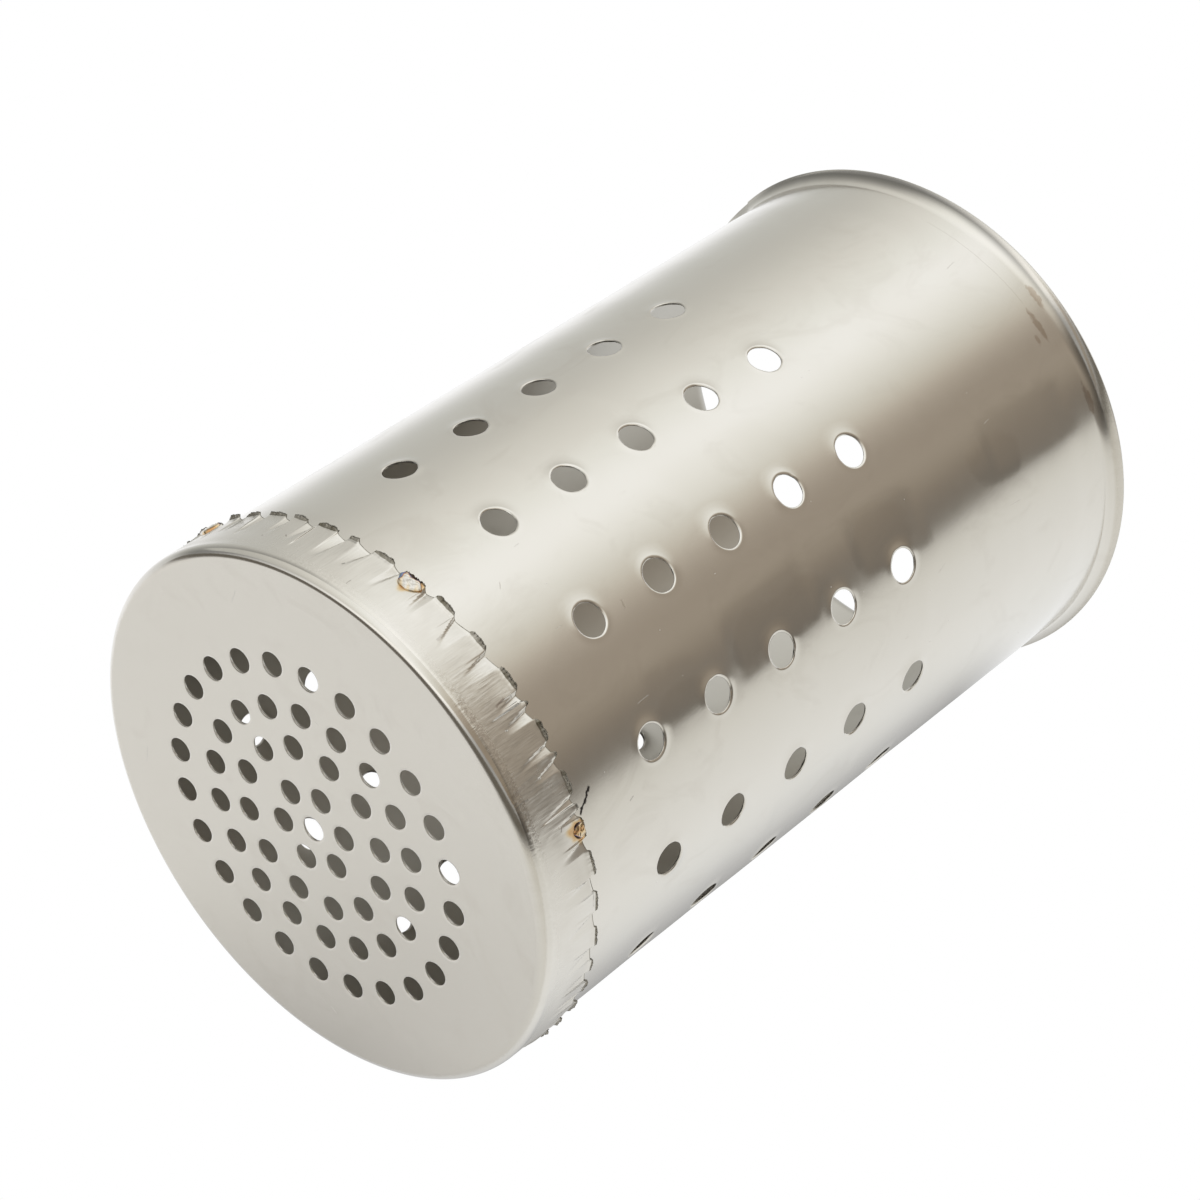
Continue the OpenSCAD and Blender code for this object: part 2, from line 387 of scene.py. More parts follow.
def wall_grid():
    """Points (arc, up) and quads of the unrolled wall, with one round hole in each cell."""
    patches = []
    cell, cell_quads = hole_cell()
    for c in range(COLS):
        for r in range(ROWS):
            place = field_to_sheet(cell[:, 0] + hole_arc[c], cell[:, 1] + hole_up[r])
            patches.append((np.stack(place, 1), cell_quads))
    arc_end = math.pi * WALL_R - SLIT
    half_arc = COLS * PITCH_ARC / 2
    half_up = ROWS * PITCH_Z / 2
    # panels between the field's ends and the seam
    side_up = np.linspace(-half_up, half_up, ROWS * CELL_Y + 1)
    for sign in (1, -1):
        arc0, z0 = field_to_sheet(sign * half_arc, side_up)
        share = np.linspace(0, 1, PANEL + 1)[:, None]
        arc = arc0[None] * (1 - share) + sign * arc_end * share
        z = np.repeat(z0[None], PANEL + 1, 0)
        if sign < 0:
            arc, z = arc[::-1], z[::-1]
        grid = np.stack([arc, z], -1)
        patches.append((grid.reshape(-1, 2), lattice_quads(grid.shape, arc_first=True)))
    # bands above and below the field, panels included
    for sign in (1, -1):
        arc_mid, z_mid = field_to_sheet(
            np.linspace(-half_arc, half_arc, COLS * CELL_X + 1), sign * half_up)
        ends = []
        for end in (-1, 1):
            arc0, z0 = field_to_sheet(end * half_arc, sign * half_up)
            share = np.linspace(0, 1, PANEL + 1)
            ends.append((arc0 * (1 - share) + end * arc_end * share, np.full(PANEL + 1, z0)))
        arc_line, z_line = [np.concatenate([ends[0][k][::-1][:-1], mid, ends[1][k][1:]])
                            for k, mid in enumerate((arc_mid, z_mid))]
        if sign > 0:
            share = np.concatenate([np.linspace(0, 1, 43)[:-3], [0.965, 0.98, 1.0]])[:, None]
            rows = z_line[None] * (1 - share) + BELL_Z * share
            bell = BELL_Z + BELL_R * BELL_TURN * np.linspace(0, 1, 19)[1:]
            bell[-1] -= 0.1
            rows = np.concatenate([rows, np.repeat(bell[:, None], len(arc_line), 1)])
        else:
            share = np.linspace(0, 1, 19)[:, None]
            rows = (WALL_BOTTOM + 0.1) * (1 - share) + z_line[None] * share
        grid = np.stack([np.repeat(arc_line[None], len(rows), 0), rows], -1)
        patches.append((grid.reshape(-1, 2), lattice_quads(grid.shape, arc_first=False)))
    starts = np.cumsum([0] + [len(pts) for pts, _ in patches])
    points = np.concatenate([pts for pts, _ in patches])
    quads = np.concatenate([q + start for (_, q), start in zip(patches, starts)])
    # join points that patches share
    key = np.round(points * 2000).astype(np.int64)
    _, first, inverse = np.unique(key, axis=0, return_index=True, return_inverse=True)
    return points[first], inverse.reshape(-1)[quads]


def build_wall():
    grid, quads = wall_grid()
    arc, up = grid[:, 0], grid[:, 1]
    step = NORMAL_STEP
    d_arc = wall_point(arc + step, up) - wall_point(arc - step, up)
    d_up = wall_point(arc, up + step) - wall_point(arc, up - step)
    hole_dist = nearest_hole(*sheet_to_field(arc, up))[2]
    edge_wear = np.exp(-np.clip(hole_dist - HOLE_R, 0, None) / 0.5)
    verts, normals, quads, tris, (unroll, edge_wear), side = sheet_solid(
        wall_point(arc, up), unit(np.cross(d_arc, d_up)), quads, np.zeros((0, 3), np.int64),
        [np.stack([arc, up, np.zeros_like(arc)], 1), edge_wear])
    unroll[:, 2] = side
    wall = make_object("wall_body", verts, quads, tris, normals,
                       {"unroll": unroll, "edge_wear": edge_wear, "side": side})
    add_attribute(wall.data, "burn_tint", tack_heat(verts) * 0.8 * (side < 0.5))
    return wall


wall_body = build_wall()

# ------------------------------------------------------------------ blocks of the crimped skirt
# flattened blocks, start and end in degrees; the rest of the circle follows in the same rhythm
blocks = [
    (104.6, 108.2), (110.4, 114.6), (117.2, 121.8), (124.1, 127.6), (130.5, 135.4),
    (138.4, 140.8), (144.6, 149.4), (151.8, 157.0), (159.6, 164.4), (168.6, 172.9),
    (176.8, 181.9), (184.0, 185.2), (187.9, 192.4), (194.6, 195.8), (198.1, 203.2),
    (205.0, 206.4), (207.6, 211.9), (214.6, 219.8), (223.4, 228.0), (231.8, 236.6),
    (240.4, 243.6), (246.6, 250.4), (253.6, 258.0), (261.0, 264.4)]
rng = np.random.RandomState(77)
next_start = 267.2
while next_start < 104.6 + 360 - 5.5:
    width = 3.0 + 2.0 * rng.rand()
    if next_start + width > 104.6 + 360 - 2.0:
        break
    blocks.append((next_start, next_start + width))
    next_start += width + 2.2 + 1.8 * rng.rand() ** 2
block_start, block_end = np.array(blocks).T
BLOCKS = len(blocks)
following_start = np.roll(block_start, -1) + np.where(np.arange(BLOCKS) == BLOCKS - 1, 360, 0)

# each block's own variation, drawn in this order
rng = np.random.RandomState(78)
fold_depth = 0.56 + 0.24 * rng.rand(BLOCKS)
fold_length = 5.6 + 2.2 * rng.rand(BLOCKS)
block_top = -0.10 + 0.24 * rng.rand(BLOCKS)
block_lip = 0.92 + 0.16 * rng.rand(BLOCKS)
rng.rand(BLOCKS)                              # keeps the later draws in place
block_tilt = rng.normal(size=BLOCKS) * 0.06
block_lean = 0.01 + 0.05 * rng.rand(BLOCKS)
fold_narrow = 0.45 + 0.30 * rng.rand(BLOCKS)
fold_fade = 0.15 + 0.45 * rng.rand(BLOCKS)
# True where a fold's wide facet lies next to its own block, False where next to the following
fold_own_side = rng.rand(BLOCKS) > 0.5
fold_own_side[block_start < 150] = True
fold_own_side[(block_start > 150) & (block_start < 262)] = False

block_width = block_end - block_start
fold_depth *= np.clip((following_start - block_end) / 2.6, 0.55, 1.25)
block_lip *= np.where(block_width < 2.0, 0.35, 0.8 + 0.2 * np.clip(block_width / 4.0, 0.3, 1.0))
soft_side = ((block_start > 213) & (block_start < 262)).astype(float)
fold_depth *= 1 - 0.45 * soft_side
block_lip *= 1 - 0.45 * soft_side
# lips are pressed down at the tacks
for k in range(BLOCKS):
    for tack in TACK_ANGLES:
        low, high = block_start[k] - 0.8, block_end[k] + 0.8
        if low < tack % 360 < high or low < tack % 360 + 360 < high:
            block_lip[k] *= 0.3
            block_top[k] = -0.05

wave_skirt = Waves(seed=21, count=36, shortest=4.0, longest=18.0, radius=50.6, aspect=1.6)
wave_die = Waves(seed=22, count=110, shortest=0.7, longest=3.2, radius=50.6, aspect=14.0)
wave_dent = Waves(seed=23, count=60, shortest=2.0, longest=5.5, radius=50.6, aspect=2.2)
wave_fold = Waves(seed=24, count=60, shortest=1.6, longest=4.5, radius=50.6, aspect=7.0)


def block_at(theta):
    """The angle in degrees, the block that rules it, its half width and the place across it,
    which is -1 and 1 at the block's ends."""
    deg = np.degrees(theta) % 360.0
    deg = np.where(deg < block_start[0], deg + 360, deg)
    k = np.clip(np.searchsorted(block_start, deg, side="right") - 1, 0, BLOCKS - 1)
    middle = (block_start[k] + block_end[k]) / 2
    half = (block_end[k] - block_start[k]) / 2
    return deg, k, half, (deg - middle) / np.maximum(half, 0.5)


def crown(across):
    return np.sqrt(np.clip(1 - across ** 2, 0, 1))


def lip_lens(across, deg, k):
    """Strength of the rolled lip along a block, about 1 at its middle and 0 past its ends."""
    lens = np.clip(1 - np.abs(across / 1.08) ** 5, 0, 1) ** 0.6
    return lens * (1 + 0.08 * np.sin(deg * 3.1 + 7 * block_top[k]) + 0.05 * np.sin(deg * 7.7))


def above_lip(z, across, k, lens, depth):
    """Height above the lower border of a lip of the given depth."""
    return z - (SKIRT_H + block_top[k] + 0.07 * crown(across) - depth * block_lip[k] * lens)


def lip_mask(theta, z):
    """1 on the lip of each block that gets painted shade, with a clean lower border."""
    deg, k, _, across = block_at(theta)
    across = np.clip(across, -1.15, 1.15)
    lens = lip_lens(across, deg, k)
    above = above_lip(z, across, k, lens, depth=0.50)
    return smooth01(above / 0.10 + 0.5) * smooth01(lens / 0.25)


def skirt_shift(theta, z):
    """Outward displacement of the skirt: folds, pressed blocks and rolled lips."""
    deg, k, half, across = block_at(theta)
    across = np.clip(across, -1.15, 1.15)
    length = fold_length[k]
    up = np.clip((z - (SKIRT_H - length)) / length, 0, 1.05)
    # one fold after each block: a wide facet that narrows downward, and a steep narrow one
    gap = following_start[k] - block_end[k]
    steep = np.minimum(fold_narrow[k], gap * 0.4)
    wide = (gap - steep) * (fold_fade[k] + (1 - fold_fade[k]) * up ** 0.9)
    own = fold_own_side[k]
    crease = np.where(own, block_end[k] + wide, following_start[k] - wide)
    facet_before = np.where(own, wide, steep)
    facet_after = np.where(own, steep, wide)
    off = deg - crease
    rounding = 0.016 + 0.08 * (1 - np.clip(up, 0, 1))
    reach = np.sqrt(off ** 2 + rounding) / np.where(off < 0, facet_before, facet_after)
    out = -fold_depth[k] * up ** 1.15 * (soft_ramp(1 - reach, 0.07) - 0.01)
    # pressed blocks: chord instead of arc, each with a little tilt and lean
    inside = smooth01((1.10 - np.abs(across)) / 0.12)
    flat = SKIRT_R * (1 / np.cos(np.radians(across * half)) - 1) * 1.1
    tilt = block_tilt[k] * across * half * SKIRT_R / 57.3
    out += inside * (flat + tilt) * smooth01((up - 0.05) / 0.6)
    out += block_lean[k] * (z - 4.0) * smooth01((z - 4.0) / 4.0) * 0.5
    # lip rolled outward along the top of each block
    lens = lip_lens(across, deg, k)
    above = above_lip(z, across, k, lens, depth=0.30)
    below_fix = 0.5 * (np.sqrt(above * above + 0.0049) - np.abs(above)) * (above < 0)
    out += 1.5 * (soft_ramp(above, 0.07) - below_fix) * lens
    out += 0.060 * lens * np.clip(z - SKIRT_H + 1.9, 0, 2.4) ** 2
    return out


def skirt_top(theta):
    _, k, _, across = block_at(theta)
    deg = np.degrees(theta) % 360.0
    deg = np.where(deg < block_start[0], deg + 360, deg)
    across = np.clip(across, -1.3, 5)
    on = smooth01((1.18 - np.abs(across)) / 0.3)
    gap = np.maximum(following_start[k] - block_end[k], 0.3)
    valley = -0.22 - 0.16 * np.sin(np.clip((deg - block_end[k]) / gap, 0, 1) * math.pi)
    return (SKIRT_H + on * (block_top[k] + 0.07 * crown(across)) + (1 - on) * valley
            + 0.03 * np.sin(41 * theta + 1.0))


# ------------------------------------------------------------------ the base cap
# disc, then two bends up to the skirt
BEND1_R, BEND1_TURN = 2.05, math.radians(60.0)
BEND2_R = 2.05
BEND1_LEN = BEND1_R * BEND1_TURN
BEND2_LEN = BEND2_R * (math.pi / 2 - BEND1_TURN)
BEND_LEN = BEND1_LEN + BEND2_LEN
FLAT_R = SKIRT_R - BEND1_R * math.sin(BEND1_TURN) - BEND2_R * (1 - math.sin(BEND1_TURN))
BEND_Z = BEND1_R * (1 - math.cos(BEND1_TURN)) + BEND2_R * math.cos(BEND1_TURN)
SKIRT_RISE = 11.0                             # nominal length of the skirt's straight part
COLUMNS = 1440
HOLE_SEG = 40
# shallow handling dents in the disc: centre, half sizes, direction, depth
DENTS = [(-27.5, 33.5, 1.1, 3.4, math.radians(60), 0.07),
         (14.0, -39.0, 1.2, 2.6, math.radians(-30), 0.04),
         (-37.0, -13.0, 1.0, 2.2, math.radians(15), 0.03)]

base_holes = []
for ring, (count, radius) in enumerate(RINGS):
    for i in range(count):
        angle = math.radians(FIELD_PHASE + (i + (ring % 2) / 2) * 360 / count)
        base_holes.append((FIELD_DX + radius * math.cos(angle),
                           FIELD_DY + radius * math.sin(angle)))


def cap_point(theta, bend, up):
    """The cap's outer face outside the disc: bend is arc length along the two bends, up runs
    0 to 1 from the bends to the skirt's edge."""
    turn1 = np.clip(bend, 0, BEND1_LEN) / BEND1_R
    turn2 = np.clip(bend - BEND1_LEN, 0, BEND2_LEN) / BEND2_R
    radius = (FLAT_R + BEND1_R * np.sin(turn1)
              + BEND2_R * (np.sin(BEND1_TURN + turn2) - math.sin(BEND1_TURN)))
    z = (BEND1_R * (1 - np.cos(turn1))
         + BEND2_R * (math.cos(BEND1_TURN) - np.cos(BEND1_TURN + turn2)))
    z = z + up * (skirt_top(theta) - BEND_Z)
    shift = skirt_shift(theta, z) * smooth01((z - 1.4) / 1.5)
    # unevenness fades out toward the bends and the lips, and is strongest round 190 degrees
    rough_zone = 0.75 + 0.45 * smooth01((np.cos(theta - math.radians(190)) - 0.85) / 0.1)
    on = smooth01((z - 1.9) / 1.4) * (1 - 0.9 * smooth01((z - SKIRT_H + 0.9) / 0.5))
    dents = 0.095 * wave_dent(theta, z) * smooth01((z - 3) / 5)
    shift = shift + on * (0.070 * wave_skirt(theta, z) + dents)
    below_lip = 1 - smooth01((z - SKIRT_H + 1.7) / 0.6)
    shift = shift + on * 0.016 * rough_zone * wave_die(theta, z) * below_lip
    shift = shift + on * 0.045 * wave_fold(theta, z) * smooth01((z - 5.5) / 5.5)
    turn = turn1 + turn2
    return polar(radius + shift * np.sin(turn), theta, z - shift * np.cos(turn))


def disc_shift(x, y):
    """Upward displacement of the disc: a faint dish, dents and rolled-over hole edges."""
    to_edge = FLAT_R - np.hypot(x, y)
    out = 0.16 * smooth01(to_edge / 20.0)
    out = out + 0.05 * np.cos(x / 13.0 + 0.4) * np.cos(y / 17.0 - 0.9) * smooth01(to_edge / 8.0)
    out = out + 0.03 * np.cos(x / 6.1 - y / 8.3 + 1.9) * smooth01(to_edge / 6.0)
    for centre_x, centre_y, half_x, half_y, turn, depth in DENTS:
        cos_t, sin_t = math.cos(turn), math.sin(turn)
        u = ((x - centre_x) * cos_t + (y - centre_y) * sin_t) / half_x
        v = (-(x - centre_x) * sin_t + (y - centre_y) * cos_t) / half_y
        out = out + depth * np.exp(-(u - 0.35 * v * v) ** 2 - v * v) * smooth01(to_edge / 2.0)
    dist = np.full(np.shape(x), 1e9)
    for hole_x, hole_y in base_holes:
        dist = np.minimum(dist, np.hypot(x - hole_x, y - hole_y))
    return out + 0.13 * (1 - np.clip((dist - BASE_HOLE_R) / 0.55, 0, 1)) ** 2


def circle_points(centre_x, centre_y, radius, count, start=0):
    angles = [TAU * (i + start) / count for i in range(count)]
    return [(centre_x + radius * math.cos(a), centre_y + radius * math.sin(a)) for a in angles]


def disc_mesh():
    """Points and triangles of the perforated disc, facing down."""
    points, edges = [], []

    def add_loop(loop):
        first, count = len(points), len(loop)
        points.extend(loop)
        edges.extend([(first + i, first + (i + 1) % count) for i in range(count)])

    add_loop(circle_points(0, 0, FLAT_R, COLUMNS))
    for x, y in base_holes:
        for outset in (0.07, 0.15, 0.27, 0.42, 0.62):
            add_loop(circle_points(x, y, BASE_HOLE_R + outset, HOLE_SEG))
    for inset, count in ((0.25, 720), (0.7, 360), (1.5, 240)):
        points.extend(circle_points(0, 0, FLAT_R - inset, count, start=0.5))
    # triangular lattice between them, sheared slightly to avoid ties
    holes = np.array(base_holes)
    step = 1.55
    for j in range(-40, 41):
        for i in range(-40, 41):
            x = (i + 0.5 * (j % 2)) * step + 0.013 * j
            y = j * step * 0.866 + 0.011 * i
            if math.hypot(x, y) > FLAT_R - 2.4:
                continue
            if np.hypot(holes[:, 0] - x, holes[:, 1] - y).min() < BASE_HOLE_R + 1.15:
                continue
            points.append((x, y))
    result = delaunay_2d_cdt([Vector(p) for p in points], edges, [], 0, 1e-6)
    verts = np.array([v[:] for v in result[0]], float)
    tris = np.array([f for f in result[2] if len(f) == 3], np.int64)
    centre = verts[tris].mean(1)
    keep = np.hypot(centre[:, 0], centre[:, 1]) < FLAT_R * math.cos(math.pi / COLUMNS) + 1e-4
    inner_r = (BASE_HOLE_R + 0.07) * math.cos(math.pi / HOLE_SEG) - 1e-3
    for x, y in base_holes:
        keep &= np.hypot(centre[:, 0] - x, centre[:, 1] - y) > inner_r
    tris = tris[keep]
    area = np.cross(verts[tris[:, 1]] - verts[tris[:, 0]], verts[tris[:, 2]] - verts[tris[:, 0]])
    tris = np.where(area[:, None] > 0, tris[:, ::-1], tris)
    used = np.unique(tris)
    renumber = np.full(len(verts), -1)
    renumber[used] = np.arange(len(used))
    return verts[used], renumber[tris]


def disc_surface(flat):
    """Points and downward normals of the displaced disc."""
    x, y = flat[:, 0], flat[:, 1]
    step = NORMAL_STEP
    slope_x = (disc_shift(x + step, y) - disc_shift(x - step, y)) / (2 * step)
    slope_y = (disc_shift(x, y + step) - disc_shift(x, y - step)) / (2 * step)
    normals = unit(np.column_stack([slope_x, slope_y, -np.ones(len(flat))]))
    return np.column_stack([flat, disc_shift(x, y)]), normals


def skirt_surface(theta, bend, up):
    """Points and normals of the bends and skirt."""
    points = cap_point(theta, bend, up)
    turn_step, step = 0.00004, 0.003
    rise = step / SKIRT_RISE
    d_theta = cap_point(theta + turn_step, bend, up) - cap_point(theta - turn_step, bend, up)
    d_bend = (cap_point(theta, np.clip(bend + step, 0, BEND_LEN), up)
              - cap_point(theta, bend - step, up))
    d_skirt = (cap_point(theta, bend, up + rise)
               - cap_point(theta, bend, np.clip(up - rise, 0, 2)))
    d_up = np.where((up > 0)[..., None], d_skirt, d_bend)
    return points, unit(np.cross(d_theta, d_up))


def die_scoring(points):
    """How strongly the crimping die has scored the skirt, in four stretches of the circle."""
    deg = np.degrees(np.arctan2(points[:, 1], points[:, 0])) % 360
    out = 0.16 + 0.84 * smooth01((24 - np.abs(deg - 190)) / 12)
    out += 0.30 * np.exp(-((deg - 140) / 9) ** 2)
    out += 0.5 * smooth01((30 - np.abs(deg - 20)) / 14)
    out += 0.5 * smooth01((20 - np.abs(deg - 300)) / 12)
    out = out * smooth01((points[:, 2] - 0.8) / 1.2)
    return out * (1 - smooth01((points[:, 2] - SKIRT_H + 1.5) / 0.5))


def build_cap():
    flat, disc_tris = disc_mesh()
    disc_points, disc_normals = disc_surface(flat)
    disc_count = len(flat)

    bends = np.concatenate([np.linspace(0, BEND1_LEN, 13)[1:],
                            BEND1_LEN + np.linspace(0, BEND2_LEN, 9)[1:]])
    ups = np.concatenate([np.linspace(0, 0.5, 13)[1:], 0.5 + np.linspace(0, 0.36, 13)[1:],
                          0.86 + np.linspace(0, 0.085, 7)[1:],
                          0.945 + np.linspace(0, 0.055, 21)[1:]])
    ups[-1] = 1 - EDGE_R / SKIRT_RISE
    bend = np.concatenate([bends, np.full(len(ups), BEND1_LEN + BEND2_LEN)])[:, None]
    up = np.concatenate([np.zeros(len(bends)), ups])[:, None]
    theta = np.broadcast_to((np.arange(COLUMNS) * TAU / COLUMNS)[None], (len(up), COLUMNS))
    skirt_points, skirt_normals = skirt_surface(theta, bend, up)

    # the disc's outer loop is the first ring of the skirt's grid
    ring_angle = np.arctan2(flat[:, 1], flat[:, 0]) % TAU
    on_ring = np.where(np.abs(np.hypot(flat[:, 0], flat[:, 1]) - FLAT_R) < 1e-3)[0]
    slots = np.round(ring_angle[on_ring] / (TAU / COLUMNS)).astype(int) % COLUMNS
    first_ring = np.full(COLUMNS, -1, np.int64)
    first_ring[slots] = on_ring
    index = np.arange(len(up) * COLUMNS).reshape(len(up), COLUMNS) + disc_count
    grid = np.concatenate([first_ring[None], index])
    turned = np.roll(grid, -1, axis=1)
    quads = np.stack([grid[:-1], turned[:-1], turned[1:], grid[1:]], -1).reshape(-1, 4)

    points = np.concatenate([disc_points, skirt_points.reshape(-1, 3)])
    normals = np.concatenate([disc_normals, skirt_normals.reshape(-1, 3)])
    z = skirt_points[..., 2]
    zone = smooth01((z - 2.0) / 1.6) - 0.5 * (z < 2.0)          # -0.5 on the bends, 1 above
    unroll = np.concatenate([np.column_stack([flat, np.full(disc_count, 0.0)]),
                             np.stack([theta * SKIRT_R, z, zone], -1).reshape(-1, 3)])
    heat = tack_heat(points) * (np.hypot(points[:, 0], points[:, 1]) > FLAT_R)
    # painted shade: the rolled lips and a strip under the skirt's top edge are marked here to be
    # darkened in the material
    sheared = np.clip((up - (1 - 0.24 / SKIRT_RISE)) / (0.10 / SKIRT_RISE), 0, 1)
    dark = np.maximum(lip_mask(theta, z) * (z > 8), sheared * (z > 8))
    lip_edge_shade = np.concatenate([np.zeros(disc_count), dark.ravel()])
    verts, normals, quads, tris, (unroll, heat, die, lip_edge_shade), side = sheet_solid(
        points, normals, quads, disc_tris, [unroll, heat, die_scoring(points), lip_edge_shade])
    return make_object("cap_shell", verts, quads, tris, normals,
                       {"unroll": unroll, "burn_tint": heat, "side": side, "die": die,
                        "lip_edge_shade": lip_edge_shade})


cap_shell = build_cap()

# ------------------------------------------------------------------ the seam bead
BEAD_ROWS = 420
BEAD_HALF = 1.16
RIPPLE_PITCH = 0.95
# the bead's underside, down through the slit to the bore and back: sideways place, radius
BEAD_UNDER = [(1.0, WALL_R - 0.30), (0.30, WALL_R - 0.34), (0.27, WALL_R - 0.42),
              (0.24, WALL_R - SHEET - 0.10), (-0.24, WALL_R - SHEET - 0.10),
              (-0.27, WALL_R - 0.42), (-0.30, WALL_R - 0.34), (-1.0, WALL_R - 0.30)]


def bead_point(x, z):
    """Top face of the bead, x from -1 to 1 across it."""
    half = BEAD_HALF * (1 + 0.07 * np.sin(z * 0.83 + 1.1) + 0.05 * np.sin(z * 2.9)
                        + 0.04 * np.sin(z * 6.3 + 2))
    dome = np.clip(1 - x * x, 0, 1) ** 0.62
    phase = (z + 0.55 * (1 - x * x) + 0.12 * np.sin(z * 1.7)) / RIPPLE_PITCH
    saw = phase - np.floor(phase)
    ripple = 0.5 - 0.5 * np.cos(TAU * saw ** 0.8)
    crest = 0.20 + 0.05 * np.sin(z * 0.31) + 0.03 * np.sin(z * 1.3 + 1)
    radius = WALL_R - 0.19 + (crest * dome + 0.045 * ripple * dome)
    return polar(radius, math.radians(90) + x * half / WALL_R, z + 0 * x)


def build_seam():
    rows = np.linspace(SEAM_BOTTOM + 0.05, BELL_Z, BEAD_ROWS)
    x, z = np.meshgrid(np.linspace(-1, 1, 15), rows)
    step = 0.003
    d_x = bead_point(np.clip(x + step, -1, 1), z) - bead_point(np.clip(x - step, -1, 1), z)
    d_z = bead_point(x, z + NORMAL_STEP) - bead_point(x, z - NORMAL_STEP)
    normals = unit(np.cross(-d_x, d_z))
    normals = np.where(normals[..., 1:2] < 0, -normals, normals)
    under = []
    for aside, radius in BEAD_UNDER:
        angle = math.radians(90) + aside / WALL_R
        under.append(np.stack([np.full(BEAD_ROWS, radius * math.cos(angle)),
                               np.full(BEAD_ROWS, radius * math.sin(angle)), rows], -1))
    under = np.stack(under, 1)
    points = np.concatenate([bead_point(x, z), under], 1)
    down = np.broadcast_to(np.array([0.0, -1.0, 0.0]), under.shape)
    normals = np.concatenate([normals, down], 1)
    # at +Y a growing x runs toward -X, so this order is counter-clockwise from outside
    count = points.shape[1]
    index = np.arange(BEAD_ROWS * count).reshape(BEAD_ROWS, count)
    turned = np.roll(index, -1, axis=1)
    quads = np.stack([index[:-1], turned[:-1], turned[1:], index[1:]], -1).reshape(-1, 4)
    verts = points.reshape(-1, 3)
    low, high = len(verts), len(verts) + 1
    verts = np.concatenate([verts, [verts[index[0]].mean(0), verts[index[-1]].mean(0)]])
    normals = np.concatenate([normals.reshape(-1, 3), [[0, 0, -1.0], [0, 0, 1.0]]])
    tris = [(index[0, (j + 1) % count], index[0, j], low) for j in range(count)]
    tris += [(index[-1, j], index[-1, (j + 1) % count], high) for j in range(count)]
    arc = np.arctan2(verts[:, 1], verts[:, 0]) * WALL_R
    unroll = np.column_stack([arc, verts[:, 2], np.zeros(len(verts))])
    return make_object("seam_bead", verts, quads, np.array(tris), normals, {"unroll": unroll})


seam_bead = build_seam()

# ------------------------------------------------------------------ the tack welds
TACK_SEG = 64
TACK_RINGS = np.concatenate([np.linspace(0.06, 0.9, 14), [0.95, 0.985, 1.0]])
TACK_FOOT_R = WALL_R + 0.02


def tack_tint(small, reach, around, x, y, half_z, phase, half_x):
    """Heat tint: black along the upper edge, blue on the low-angle side, bright centre. The
    small tack is straw with a dark rim."""
    ring = np.exp(-((reach - 0.97) / 0.06) ** 2) * (0.5 + 0.5 * np.sin(2 * around + phase[4]))
    if small:
        burn = smooth01((reach - 0.86 + 0.14 * np.sin(3 * around + phase[1])) / 0.12)
        tint = 0.28 + 0.10 * np.sin(3 * x + phase[0])
        blue = 0.0
    else:
        burn = smooth01((y / half_z - 0.34 + 0.16 * np.sin(x * 2.2 + phase[2])) / 0.25)
        tint = 0.03 + 0.20 * (0.5 + 0.5 * np.sin(4 * x + 3 * y + phase[0])) * reach
        blue = smooth01((-x / half_x - 0.52) / 0.25) * smooth01((reach - 0.5) / 0.3)
    return np.maximum(np.maximum(np.maximum(tint, 0.72 * blue), 0.48 * ring), 1.0 * burn)


